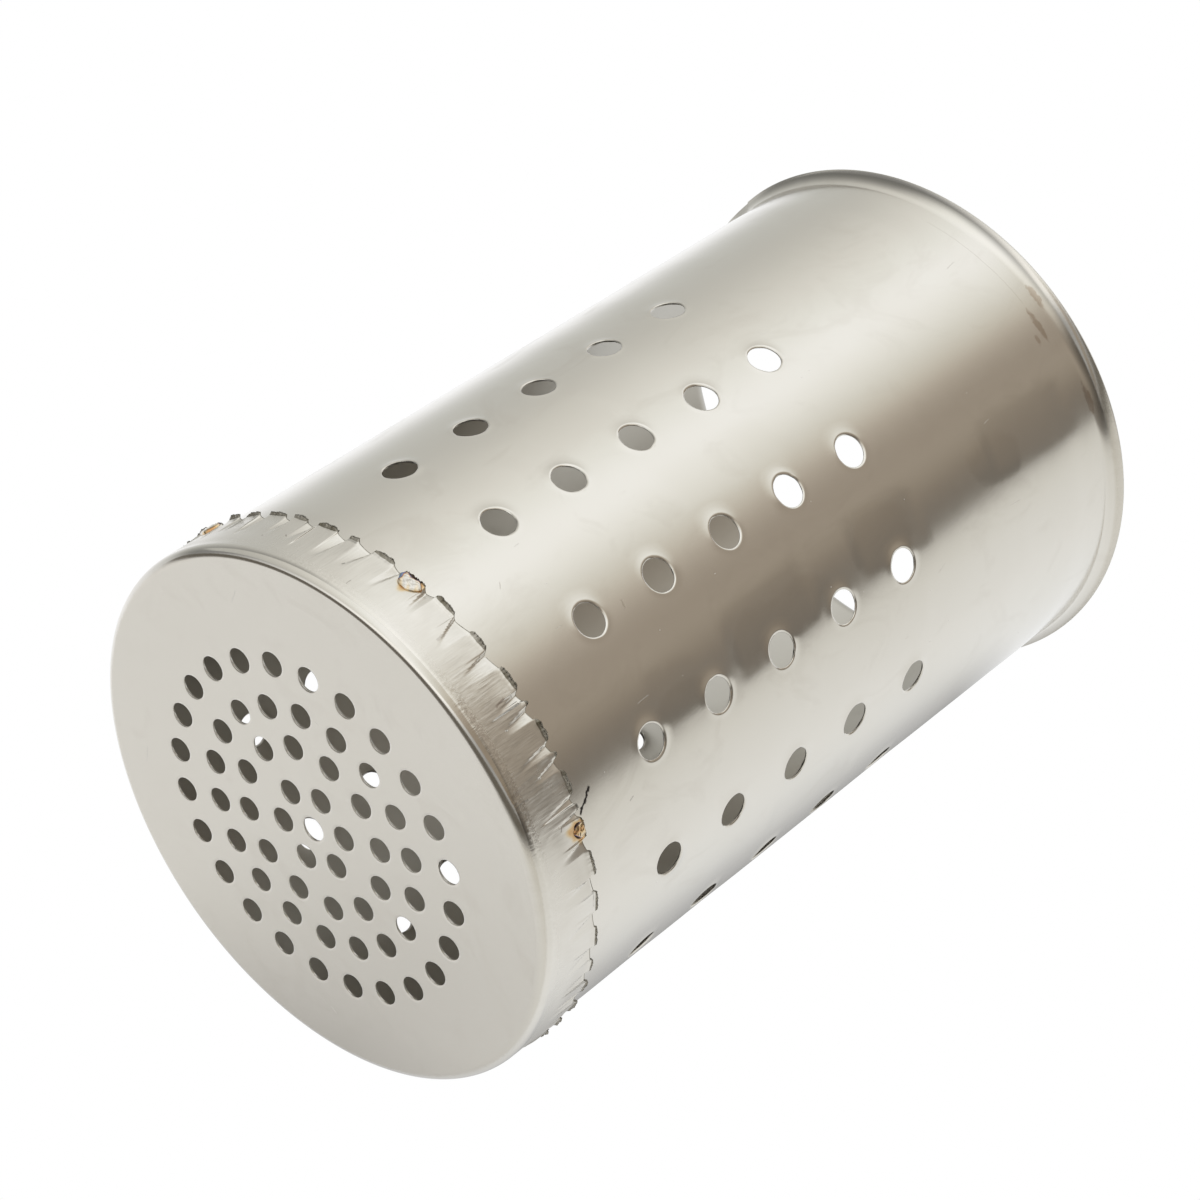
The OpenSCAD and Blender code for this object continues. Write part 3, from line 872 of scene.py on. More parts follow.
def tack_bead(k, angle_deg):
    """Vertices, normals, quads, triangles and heat tint of one tack weld."""
    phase = np.random.RandomState(300 + k).rand(8) * TAU
    small = k == SMALL_TACK
    half_x, half_z = (1.35 if small else 2.3), 1.75
    centre_z = 11.9 if small else 11.2

    def tack_point(reach, around):
        lobe = (1 + 0.07 * np.sin(2 * around + phase[0]) + 0.055 * np.sin(3 * around + phase[1])
                + 0.03 * np.sin(6 * around + phase[2]))
        x = half_x * reach * np.cos(around) * lobe
        y = half_z * reach * np.sin(around) * lobe
        y = np.where(y > 0, y * 0.85, y)
        dome = np.clip(1 - reach ** 2, 0, 1) ** 0.5
        rim = np.exp(-((reach - 0.80) / 0.12) ** 2)
        swirl = np.sin(x * 5.2 + 2.1 * np.sin(y * 3.1 + phase[3]) + phase[4])
        rings = np.sin(11 * reach * (1 + 0.25 * np.sin(2 * around + phase[6])) + phase[7])
        wrinkle = 0.055 * swirl * np.sin(y * 6.3 + phase[5]) + 0.035 * rings
        # the weld steps down from the skirt's edge onto the wall
        base = WALL_R + 0.98 - 0.62 * smooth01((y + centre_z - 12.3) / 0.8)
        radius = base + 0.40 * dome + 0.10 * rim * dome + wrinkle * dome - 0.16
        return polar(radius, math.radians(angle_deg) + x / SKIRT_R, centre_z + y)

    reach, around = np.meshgrid(TACK_RINGS, np.arange(TACK_SEG) * TAU / TACK_SEG, indexing="ij")
    top = tack_point(reach, around)
    step = NORMAL_STEP
    d_reach = tack_point(reach + step, around) - tack_point(reach - step, around)
    d_around = tack_point(reach, around + step) - tack_point(reach, around - step)
    normals = unit(np.cross(d_reach, d_around))
    outward = np.array([math.cos(math.radians(angle_deg)), math.sin(math.radians(angle_deg)), 0])
    normals = np.where((normals @ outward)[..., None] < 0, -normals, normals)
    centre = tack_point(np.array([0.0]), np.array([0.0]))[0]
    # the outer ring goes straight down to a foot on the wall
    last = top[-1]
    radial = unit(np.column_stack([last[:, :2], np.zeros(TACK_SEG)]))
    foot = last - radial * (np.hypot(last[:, 0], last[:, 1]) - TACK_FOOT_R)[:, None]
    foot_centre = foot.mean(0)
    foot_centre[:2] *= TACK_FOOT_R / math.hypot(foot_centre[0], foot_centre[1])
    verts = np.concatenate([[centre], top.reshape(-1, 3), foot, [foot_centre]])
    normals = np.concatenate([[outward], normals.reshape(-1, 3), unit(last - last.mean(0)),
                              [-outward]])
    rings = 1 + np.arange((len(TACK_RINGS) + 1) * TACK_SEG).reshape(-1, TACK_SEG)
    turned = np.roll(rings, -1, axis=1)
    quads = np.stack([rings[:-1], rings[1:], turned[1:], turned[:-1]], -1).reshape(-1, 4)
    tris = [(0, rings[0, j], turned[0, j]) for j in range(TACK_SEG)]
    tris += [(len(verts) - 1, turned[-1, j], rings[-1, j]) for j in range(TACK_SEG)]
    x = half_x * reach * np.cos(around)
    y = half_z * reach * np.sin(around)
    tint = tack_tint(small, reach, around, x, y, half_z, phase, half_x)
    heat = np.concatenate([[0.32 if small else 0.1], tint.ravel(), np.full(TACK_SEG + 1, 0.5)])
    return verts, normals, quads, np.array(tris), heat


def build_tacks():
    beads = [tack_bead(k, angle) for k, angle in enumerate(TACK_ANGLES)]
    starts = np.cumsum([0] + [len(bead[0]) for bead in beads])
    verts, normals, heat = [np.concatenate([bead[i] for bead in beads]) for i in (0, 1, 4)]
    quads, tris = [np.concatenate([bead[i] + start for bead, start in zip(beads, starts)])
                   for i in (2, 3)]
    return make_object("tack_beads", verts, quads, tris, normals,
                       {"unroll": verts, "burn_tint": heat})


tack_beads = build_tacks()

for obj, node, slot_name in ((wall_body, "wall_sheet", "wall_steel"),
                             (cap_shell, "base_cap", "cap_steel"),
                             (seam_bead, "seam_weld", "seam_metal"),
                             (tack_beads, "tack_welds", "tack_metal")):
    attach(obj, "root")
    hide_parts(node)


# ------------------------------------------------------------------ shader tools
class Wire:
    """An output socket; arithmetic on it adds math nodes."""

    def __init__(self, graph, socket):
        self.graph = graph
        self.socket = socket

    def __add__(self, other):
        return self.graph.math("ADD", self, other)

    def __radd__(self, other):
        return self.graph.math("ADD", other, self)

    def __sub__(self, other):
        return self.graph.math("SUBTRACT", self, other)

    def __rsub__(self, other):
        return self.graph.math("SUBTRACT", other, self)

    def __mul__(self, other):
        return self.graph.math("MULTIPLY", self, other)

    def __truediv__(self, other):
        return self.graph.math("DIVIDE", self, other)

    def __abs__(self):
        return self.graph.math("ABSOLUTE", self)

    def times_plus(self, factor, offset):
        return self.graph.math("MULTIPLY_ADD", self, factor, offset)

    def clamp(self):
        """Limits the math node behind this wire to 0..1."""
        self.socket.node.use_clamp = True
        return self

    def out(self, name):
        """Another output of the same node."""
        return Wire(self.graph, self.socket.node.outputs[name])


def rgba(colour):
    if isinstance(colour, Wire):
        return colour
    return (*colour, 1) if isinstance(colour, tuple) else (colour, colour, colour, 1)


class Graph:
    def __init__(self, owner):
        owner.use_nodes = True
        self.tree = owner.node_tree
        self.tree.nodes.clear()

    def make(self, kind, inputs=None, **settings):
        node = self.tree.nodes.new(kind)
        for name, value in settings.items():
            setattr(node, name, value)
        for key, value in (inputs or {}).items():
            if isinstance(value, Wire):
                self.tree.links.new(value.socket, node.inputs[key])
            else:
                node.inputs[key].default_value = value
        return Wire(self, node.outputs[0])

    def finish(self, shader, kind="ShaderNodeOutputMaterial"):
        output = self.tree.nodes.new(kind)
        self.tree.links.new(shader.socket, output.inputs["Surface"])

    def math(self, operation, *values):
        return self.make("ShaderNodeMath", dict(enumerate(values)), operation=operation)

    def vector(self, operation, *values):
        wire = self.make("ShaderNodeVectorMath", dict(enumerate(values)), operation=operation)
        return wire.out("Value") if operation in ("DOT_PRODUCT", "LENGTH") else wire

    def scale(self, vector, factor):
        return self.make("ShaderNodeVectorMath", {0: vector, "Scale": factor},
                         operation="SCALE")

    def mix(self, factor, first, second, mode="MIX"):
        inputs = {"Factor": factor, 6: rgba(first), 7: rgba(second)}
        return self.make("ShaderNodeMix", inputs, data_type="RGBA", blend_type=mode,
                         clamp_factor=True).out(2)

    def ramp(self, factor, stops):
        """Stops are (position, colour or grey)."""
        wire = self.make("ShaderNodeValToRGB", {0: factor})
        elements = wire.socket.node.color_ramp.elements
        while len(elements) > 1:
            elements.remove(elements[-1])
        elements[0].position = stops[0][0]
        elements[0].color = rgba(stops[0][1])
        for position, colour in stops[1:]:
            elements.new(position).color = rgba(colour)
        return wire

    def attribute(self, name, output="Fac"):
        return self.make("ShaderNodeAttribute", attribute_type="GEOMETRY",
                         attribute_name=name).out(output)

    def noise(self, vector, scale, detail=4.0, roughness=0.5, distortion=0.0):
        return self.make("ShaderNodeTexNoise", {
            "Vector": vector, "Scale": scale, "Detail": detail, "Roughness": roughness,
            "Distortion": distortion})

    def see_through(self, cover, colour, strength=1.0):
        """Emission where cover is 1, transparent where it is 0."""
        clear = self.make("ShaderNodeBsdfTransparent")
        glow = self.make("ShaderNodeEmission", {"Color": colour, "Strength": strength})
        self.finish(self.make("ShaderNodeMixShader", {0: cover, 1: clear, 2: glow}))


# ------------------------------------------------------------------ steel
STEEL = (0.66, 0.635, 0.59)
# temper colours from clean steel to burnt black
HEAT = [(0.0, STEEL), (0.12, (0.66, 0.60, 0.50)), (0.28, (0.62, 0.46, 0.26)),
        (0.42, (0.50, 0.26, 0.11)), (0.55, (0.30, 0.12, 0.13)), (0.66, (0.20, 0.18, 0.38)),
        (0.76, (0.24, 0.34, 0.48)), (0.88, (0.09, 0.055, 0.035)), (1.0, (0.030, 0.018, 0.012))]
BUMP_UNIT = 0.0000016                         # bump distance at grain 1, metres


def stretched(graph, sheet, x, y):
    return graph.vector("MULTIPLY", sheet, (x, y, 1.0))


def hairlines(graph, sheet):
    """Thin curved scratches, only in some patches."""
    bands = graph.make("ShaderNodeTexWave", {
        "Vector": sheet, "Scale": 0.045, "Distortion": 14.0, "Detail": 2.0,
        "Detail Scale": 0.35}, wave_profile="SAW").out("Fac")
    hair = graph.math("LESS_THAN", abs(bands - 0.5), 0.0022)
    patches = graph.noise(sheet, scale=0.13, detail=2.0, roughness=0.5)
    return hair * graph.math("GREATER_THAN", patches, 0.70)


def add_heat(graph, sheet, colour):
    heat = (graph.attribute("burn_tint") * 1.0).clamp()
    mottle = graph.noise(sheet, scale=1.2, detail=3.0, roughness=0.6)
    tint = graph.ramp((heat + (mottle - 0.5) * (heat * 0.5)).clamp(), HEAT)
    return graph.mix((heat * 6.0).clamp(), colour, tint)


def spot_mask(graph, sheet, centre, radii, noise, wobble, sharpness):
    """A ragged oval on the unrolled sheet."""
    offset = graph.vector("SUBTRACT", sheet, (*centre, 0.0))
    offset = graph.vector("MULTIPLY", offset, (1.0 / radii[0], 1.0 / radii[1], 0.0))
    ragged = (graph.noise(sheet, **noise) - 0.5) * wobble
    return ((1.0 - (graph.vector("LENGTH", offset) + ragged)) * sharpness).clamp()


def add_stain(graph, sheet, colour, rough, stain):
    centre, radii, strength, tint = stain
    mask = spot_mask(graph, sheet, centre, radii, dict(scale=0.9, detail=4.0, roughness=0.6),
                     wobble=1.6, sharpness=2.5) * strength
    return graph.mix(mask, colour, tint), rough + mask * 0.12


def add_die_marks(graph, sheet, colour, rough):
    """Dark and pale streaks up the skirt, and painted shade on the rolled lips and the cut top
    edge.
    """
    streaks = graph.noise(stretched(graph, sheet, 1.0, 0.07), scale=3.1, detail=3.0,
                          roughness=0.65)
    dirt = ((streaks - 0.50) * 5.0).clamp() * (graph.attribute("die") * 0.42)
    colour = graph.mix(dirt, colour, (0.36, 0.345, 0.32))
    pale = ((0.47 - streaks) * 5.0).clamp() * (graph.attribute("die") * 0.45)
    colour = graph.mix(pale, colour, (0.86, 0.855, 0.84))
    rough = rough + pale * 0.14
    # painted shade: dark olive on the rolled lips and along the skirt's top edge, standing in for
    # their dark reflections and the shadow in the gap against the wall
    patchy = graph.noise(sheet, scale=0.7, detail=3.0, roughness=0.6)
    painted_shade = graph.attribute("lip_edge_shade") * patchy.times_plus(1.2, 0.15).clamp()
    colour = graph.mix(painted_shade * 0.94, colour, (0.125, 0.108, 0.072))
    return colour, rough + painted_shade * 0.15


def add_line(graph, sheet, colour, rough, line):
    """A thin broken line, burnt or scratched, between two places on the unrolled sheet."""
    (x0, y0), (x1, y1), half, strength, tint = line
    length = math.hypot(x1 - x0, y1 - y0)
    dir_x, dir_y = (x1 - x0) / length, (y1 - y0) / length
    offset = graph.vector("SUBTRACT", sheet, (x0, y0, 0.0))
    along = graph.vector("DOT_PRODUCT", offset, (dir_x, dir_y, 0.0))
    across = graph.vector("DOT_PRODUCT", offset, (-dir_y, dir_x, 0.0))
    ragged = graph.noise(sheet, scale=0.9, detail=3.0, roughness=0.6)
    across = across + (ragged - 0.5) * (1.3 * min(1.0, half * 4))
    body = ((1.0 - abs(across) / half) * 2.0).clamp()
    ends = (along * 4.0).clamp() * ((length - along) * 4.0).clamp()
    breaks = graph.noise(sheet, scale=2.2, detail=2.0, roughness=0.5)
    mask = body * ends * ((breaks - 0.24) * 8.0).clamp() * strength
    return graph.mix(mask, colour, tint), rough + mask * 0.25


def add_dust(graph, sheet, colour, rough, amount):
    cells = graph.make("ShaderNodeTexVoronoi", {"Vector": sheet, "Scale": 0.30})
    dot = graph.math("LESS_THAN", cells.out("Distance"), 0.035)
    patches = graph.noise(sheet, scale=0.06, detail=1.0, roughness=0.5)
    dot = dot * graph.math("GREATER_THAN", patches, 0.55) * amount
    rough = rough + dot * 0.5
    return graph.mix(dot, colour, (0.75, 0.74, 0.72)), rough


def die_scores(graph, sheet):
    """Height of the axial scoring left by the crimping die."""
    die = graph.attribute("die")
    coarse = graph.noise(stretched(graph, sheet, 1.0, 0.055), scale=2.4, detail=3.0,
                         roughness=0.6, distortion=0.15)
    fine = graph.noise(stretched(graph, sheet, 1.0, 0.11), scale=6.5, detail=2.0,
                       roughness=0.6, distortion=0.1)
    patch = graph.noise(stretched(graph, sheet, 1.0, 0.5), scale=0.42, detail=2.0,
                        roughness=0.5)
    patch = ((patch - 0.36) * 4.0).clamp()
    return (coarse * 30.0 + fine * 11.0) * die * patch.times_plus(0.75, 0.25)


def steel(name, base=STEEL, rough=0.17, grain=1.0, heated=True, streak=(1.0, 1.0), smudge=1.0,
          stains=(), dust=0.0, inner_shade=0.0, zone_rough=0.0, burnished=(), scored=False,
          lines=()):
    """Sheet steel. grain scales the bump, streak stretches it, smudge is the strength of the
    finger marks, and inner_shade darkens the inner face. The spots and lines are places on
    the unrolled sheet."""
    material = bpy.data.materials.new(name)
    graph = Graph(material)
    sheet = graph.attribute("unroll", "Vector")

    def dulled(red, green, blue):
        return (base[0] * red, base[1] * green, base[2] * blue)

    # broad cloudiness, fine mottling and finger marks
    cloud = graph.noise(sheet, scale=0.035, detail=3.0, roughness=0.55, distortion=0.6)
    fine = graph.noise(sheet, scale=0.35, detail=4.0, roughness=0.6, distortion=0.3)
    marks = graph.noise(stretched(graph, sheet, 1.0, 0.6), scale=0.085, detail=5.0,
                        roughness=0.62, distortion=1.4)
    marks = (graph.math("SMOOTH_MIN", (marks - 0.53) * 7.0, 1.0, 0.3) * 1.0).clamp()
    # rolled and brushed grain
    grain_long = graph.noise(stretched(graph, sheet, *streak), scale=6.0, detail=3.0,
                             roughness=0.65)
    grain_cross = graph.noise(stretched(graph, sheet, *streak[::-1]), scale=2.6, detail=2.0,
                              roughness=0.6)
    hair = hairlines(graph, sheet)

    colour = graph.mix(((cloud - 0.35) * (0.9 * smudge)).clamp(), base,
                       dulled(0.955, 0.945, 0.925))
    colour = graph.mix(marks * (0.35 * smudge), colour, dulled(0.90, 0.885, 0.87))
    colour = graph.mix(((fine - 0.5) * 0.25).clamp(), colour, (0.72, 0.70, 0.66))
    if heated:
        colour = add_heat(graph, sheet, colour)
    rough = rough + (cloud - 0.5) * 0.07
    rough = rough + (fine - 0.5) * 0.05
    rough = rough + marks * (0.035 * smudge)
    for stain in stains:
        colour, rough = add_stain(graph, sheet, colour, rough, stain)
    if scored:
        colour, rough = add_die_marks(graph, sheet, colour, rough)
    for line in lines:
        colour, rough = add_line(graph, sheet, colour, rough, line)
    if dust:
        colour, rough = add_dust(graph, sheet, colour, rough, dust)
    rough = rough + hair * 0.10
    if zone_rough:
        zone = graph.make("ShaderNodeSeparateXYZ", {0: sheet}).out("Z")
        rough = rough + graph.math("MAXIMUM", zone, -0.5) * zone_rough
    for centre, radii, amount in burnished:
        mask = spot_mask(graph, sheet, centre, radii,
                         dict(scale=0.09, detail=3.0, roughness=0.5), wobble=1.5, sharpness=5.0)
        rough = rough - mask * amount
    if inner_shade:
        inner = (graph.attribute("side") * 1.0).clamp()
        rough = rough + inner * 0.20
        colour = graph.mix(inner * inner_shade, colour, (0.21, 0.20, 0.175))

    height = grain_long * 0.6 + grain_cross * 0.8
    height = height + fine * 1.2
    height = height - hair * 3.0
    if scored:
        height = height + die_scores(graph, sheet)
    rough = graph.math("MAXIMUM", rough, 0.06)
    bump = graph.make("ShaderNodeBump", {"Strength": 1.0, "Distance": BUMP_UNIT * grain,
                                         "Height": height})
    graph.finish(graph.make("ShaderNodeBsdfPrincipled", {
        "Metallic": 1.0, "Base Color": colour, "Roughness": rough, "Normal": bump}))
    return material


def on_wall(deg, z):
    return ((deg - 270.0) * math.pi / 180 * WALL_R, z)


def on_skirt(deg, z):
    return (math.radians(deg) * SKIRT_R, z)


# stains near the rim: angle, height, half sizes, strength, colour
WALL_STAINS = [(181.5, 158.4, (3.6, 0.9), 0.55, (0.30, 0.22, 0.15)),
               (176.0, 162.2, (3.0, 0.8), 0.5, (0.34, 0.25, 0.17)),
               (201.0, 161.4, (3.6, 1.0), 0.55, (0.28, 0.20, 0.14)),
               (184.0, 156.2, (1.2, 0.6), 0.45, (0.33, 0.24, 0.17))]
# burnt and scratched lines: start and end as (angle, height), half width, strength, colour
WALL_LINES = [((204.3, 17.0), (208.2, 13.2), 0.34, 1.0, (0.035, 0.03, 0.028)),
              ((211.6, 25.4), (212.2, 24.2), 0.14, 0.5, (0.3, 0.28, 0.26)),
              ((148.0, 158.2), (176.0, 158.6), 0.10, 0.30, (0.42, 0.38, 0.33)),
              ((179.0, 40.6), (181.0, 40.2), 0.14, 0.5, (0.30, 0.24, 0.18)),
              ((163.5, 24.0), (165.0, 23.0), 0.10, 0.5, (0.30, 0.27, 0.23)),
              ((20.0, 36.0), (26.0, 30.0), 0.10, 0.4, (0.38, 0.34, 0.30)),
              ((316.0, 90.0), (319.0, 82.0), 0.10, 0.4, (0.38, 0.34, 0.30))]
SKIRT_LINES = [((181.6, 9.4), (182.3, 7.0), 0.30, 0.55, (0.24, 0.17, 0.13)),
               ((166.3, 8.5), (166.6, 6.2), 0.35, 0.35, (0.34, 0.31, 0.28)),
               ((196.7, 4.8), (197.3, 1.2), 0.35, 0.40, (0.26, 0.21, 0.17)),
               ((199.0, 4.2), (199.2, 1.8), 0.18, 0.55, (0.16, 0.14, 0.12)),
               ((127.3, 7.6), (127.9, 6.9), 0.16, 0.6, (0.22, 0.19, 0.16)),
               ((122.6, 6.2), (122.9, 5.7), 0.14, 0.6, (0.22, 0.19, 0.16)),
               ((207.4, 8.4), (208.2, 7.6), 0.14, 0.6, (0.22, 0.19, 0.16)),
               ((147.0, 4.5), (147.1, 3.0), 0.10, 0.5, (0.25, 0.22, 0.19))]
# the same on the disc, with start and end as (x, y)
DISC_LINES = [((-20.5, 38.0), (-17.5, 36.8), 0.10, 0.30, (0.45, 0.44, 0.42)),
              ((30.0, 28.0), (33.0, 26.0), 0.10, 0.30, (0.45, 0.44, 0.42))]
# smoother places, burnished in forming: angle, height, half sizes, roughness taken off
WALL_BURNISHED = [(199.5, 132.5, (5.4, 8.5), 0.085), (198.0, 99.5, (6.4, 8.5), 0.085),
                  (200.5, 69.0, (5.6, 12.5), 0.085), (202.5, 42.5, (4.0, 6.5), 0.075),
                  (20.0, 90.0, (14.0, 22.0), 0.06), (300.0, 120.0, (16.0, 16.0), 0.06),
                  (50.0, 130.0, (12.0, 14.0), 0.06), (340.0, 50.0, (13.0, 18.0), 0.06)]


def placed_lines(place, lines):
    return [(place(*start), place(*end), *rest) for start, end, *rest in lines]


def placed_spots(place, spots):
    return [(place(deg, z), *rest) for deg, z, *rest in spots]


materials = (
    steel("wall_satin_steel", rough=0.18, grain=2.2, streak=(0.35, 1.0), dust=0.8,
          inner_shade=0.40, stains=placed_spots(on_wall, WALL_STAINS),
          lines=placed_lines(on_wall, WALL_LINES),
          burnished=placed_spots(on_wall, WALL_BURNISHED)),
    steel("cap_pressed_steel", rough=0.18, grain=1.1, streak=(1.0, 0.35), smudge=0.8,
          inner_shade=0.40, zone_rough=0.10, scored=True,
          lines=placed_lines(on_skirt, SKIRT_LINES) + DISC_LINES),
    steel("seam_weld_metal", base=(0.60, 0.57, 0.52), rough=0.24, grain=2.0, heated=False,
          smudge=1.2),
    steel("tack_weld_metal", base=(0.62, 0.60, 0.57), rough=0.13, smudge=0.6))
for obj, material in zip((wall_body, cap_shell, seam_bead, tack_beads), materials):
    obj.data.materials.clear()
    obj.data.materials.append(material)

# ------------------------------------------------------------------ studio light by direction
LIGHT_ANGLE = math.radians(138.96)            # the big softbox is on this side of the mold
TO_LIGHT = (math.cos(LIGHT_ANGLE), math.sin(LIGHT_ANGLE), 0.0)
ACROSS_LIGHT = (-math.sin(LIGHT_ANGLE), math.cos(LIGHT_ANGLE), 0.0)
UP = (0.0, 0.0, 1.0)

# colour round the mold's axis, by degrees from the softbox
PANORAMA = [
    (-180, (1.10, 1.12, 1.13)), (-150, (1.12, 1.14, 1.16)), (-128, (1.16, 1.18, 1.20)),
    (-116, (1.20, 1.21, 1.23)), (-106, (1.05, 1.06, 1.07)), (-97, (0.80, 0.81, 0.80)),
    (-90, (0.71, 0.72, 0.69)), (-78, (0.68, 0.685, 0.65)), (-68, (0.69, 0.69, 0.65)),
    (-56, (0.77, 0.765, 0.72)), (-46, (0.88, 0.875, 0.825)), (-32, (1.04, 1.035, 0.985)),
    (-18, (1.20, 1.22, 1.18)), (-5, (1.36, 1.38, 1.38)), (4, (1.36, 1.38, 1.38)),
    (14, (1.22, 1.23, 1.19)), (24, (1.00, 0.99, 0.92)), (33, (0.80, 0.75, 0.65)),
    (39, (0.58, 0.51, 0.42)), (47, (0.42, 0.355, 0.28)), (54, (0.40, 0.335, 0.26)),
    (62, (0.43, 0.365, 0.285)), (69, (0.36, 0.30, 0.225)), (75, (0.25, 0.20, 0.145)),
    (84, (0.18, 0.150, 0.115)), (91, (0.165, 0.145, 0.115)), (96, (0.82, 0.81, 0.76)),
    (104, (0.95, 0.945, 0.90)), (120, (1.02, 1.025, 1.00)), (140, (1.09, 1.10, 1.09)),
    (160, (1.10, 1.12, 1.12)), (180, (1.10, 1.12, 1.13))]
# share of it left at each upward component of the direction, -1 to 1: at angles before the
# softbox, at the softbox, and after it
FALLS = (
    [(-1.0, 0.16), (-0.60, 0.24), (-0.35, 0.32), (-0.20, 0.40), (-0.05, 0.52), (0.10, 0.66),
     (0.25, 0.82), (0.40, 0.94), (0.60, 1.0), (1.0, 0.95)],
    [(-1.0, 0.25), (-0.80, 0.30), (-0.62, 0.46), (-0.45, 0.68), (-0.30, 0.84), (-0.15, 0.95),
     (0.0, 1.0), (0.15, 1.0), (0.60, 1.0), (1.0, 0.95)],
    [(-1.0, 0.10), (-0.60, 0.16), (-0.35, 0.26), (-0.15, 0.38), (0.05, 0.55), (0.25, 0.74),
     (0.45, 0.95), (0.60, 1.0), (1.0, 0.95)])


def by_angle(stops):
    """Ramp stops from degrees, -180 to 180."""
    return [((deg + 180) / 360, value) for deg, value in stops]


def by_rise(stops):
    """Ramp stops from an upward component, -1 to 1."""
    return [((rise + 1) / 2, value) for rise, value in stops]


def panorama_stops(gain, lift=0.0):
    return by_angle([(deg, tuple(v * gain + lift for v in colour)) for deg, colour in PANORAMA])


def build_world():
    world = bpy.data.worlds.new("studio")
    bpy.context.scene.world = world
    graph = Graph(world)
    direction = graph.make("ShaderNodeTexCoord").out("Generated")
    toward = graph.vector("DOT_PRODUCT", direction, TO_LIGHT)
    across = graph.vector("DOT_PRODUCT", direction, ACROSS_LIGHT)
    rise = graph.vector("DOT_PRODUCT", direction, UP)
    # low down, the softbox side is turned by up to ten degrees
    lean = graph.ramp(rise.times_plus(0.5, 0.5),
                      [(0.30, 1.0), (0.55, 0.9), (0.68, 0.35), (0.77, 0.0)])
    angle = graph.math("ARCTAN2", across, toward)
    angle = angle - lean * math.radians(10) * graph.math("LESS_THAN", abs(angle), 1.35)
    turn = (angle * (1 / TAU) + 0.5).clamp()
    colour = graph.ramp(turn, panorama_stops(gain=0.445, lift=0.045))
    height = rise.times_plus(0.5, 0.5)
    before, middle, after = [
        graph.ramp(height, by_rise([(x, v * 0.5) for x, v in fall])) for fall in FALLS]
    to_middle = graph.ramp(turn, by_angle([(-180, 0.0), (-46, 0.0), (-22, 1.0), (180, 1.0)]))
    to_after = graph.ramp(turn, by_angle([(-180, 0.0), (32, 0.0), (48, 1.0), (180, 1.0)]))
    fall = graph.mix(to_after, graph.mix(to_middle, before, middle), after)
    lit_side = graph.ramp(turn, by_angle([(-180, 0.0), (-97, 0.0), (-88, 1.0), (90.5, 1.0),
                                          (94, 0.0), (180, 0.0)]))
    seen = graph.mix(1.0, colour, graph.mix(lit_side, 0.5, fall), "MULTIPLY")
    # the far side is slightly warmer and darker below
    below = graph.ramp(height, [(0.0, (0.86, 0.845, 0.815)), (0.30, (0.86, 0.845, 0.815)),
                                (0.42, 1.0), (1.0, 1.0)])
    seen = graph.mix(1.0 - lit_side, seen, graph.mix(1.0, seen, below, "MULTIPLY"))
    # the lower half of the softbox, wider than its top edge
    box_across = graph.ramp(turn, by_angle([(-44, 0.0), (-20, 1.0), (30, 1.0), (41, 0.0)]))
    box_up = graph.ramp(rise.times_plus(0.5, 0.5), by_rise([
        (-0.85, 0.0), (-0.35, 0.85), (-0.15, 1.0), (0.25, 0.9), (0.52, 0.0)]))
    box = graph.mix(1.0, box_across, box_up, "MULTIPLY")
    seen = graph.mix(1.0, seen, graph.mix(1.0, box, 0.02, "MULTIPLY"), "ADD")
    seen = graph.scale(seen, 4.0)
    # the camera itself sees plain white
    is_camera = graph.make("ShaderNodeLightPath").out("Is Camera Ray")
    colour = graph.mix(is_camera, seen, 1.0)
    graph.finish(graph.make("ShaderNodeBackground", {"Color": colour, "Strength": 1.0}),
                 "ShaderNodeOutputWorld")


build_world()


# ------------------------------------------------------------------ floor and reflected cards
def plane(name, size, location=(0, 0, 0)):
    bpy.ops.mesh.primitive_plane_add(size=size, location=location)
    obj = bpy.context.object
    obj.name = name
    return obj


def stage_plane(obj, material, hidden_ray):
    """Hides the plane from one more kind of ray than the usual ones and stages it."""
    obj.data.materials.append(material)
    for ray in (hidden_ray, "diffuse", "transmission", "volume_scatter", "shadow"):
        setattr(obj, "visible_" + ray, False)


def position_along(graph, axis):
    position = graph.make("ShaderNodeNewGeometry").out("Position")
    return graph.vector("DOT_PRODUCT", position, axis)


def build_floor():
    """Pale floor under the mold, seen by the camera only and clear from below."""
    floor = plane("studio_floor", 6.0, (0, 0, cad_lo.z - 0.0001))
    material = bpy.data.materials.new("studio_floor_paper")
    graph = Graph(material)
    place = graph.make("ShaderNodeTexCoord").out("Object")
    mottle = graph.noise(place, scale=60.0, detail=3.0, roughness=0.6)
    colour = graph.mix(mottle, (0.86, 0.86, 0.855), (0.90, 0.90, 0.895))
    paper = graph.make("ShaderNodeBsdfDiffuse", {"Color": colour})
    clear = graph.make("ShaderNodeBsdfTransparent")
    backfacing = graph.make("ShaderNodeNewGeometry").out("Backfacing")
    graph.finish(graph.make("ShaderNodeMixShader", {0: backfacing, 1: paper, 2: clear}))
    stage_plane(floor, material, "glossy")


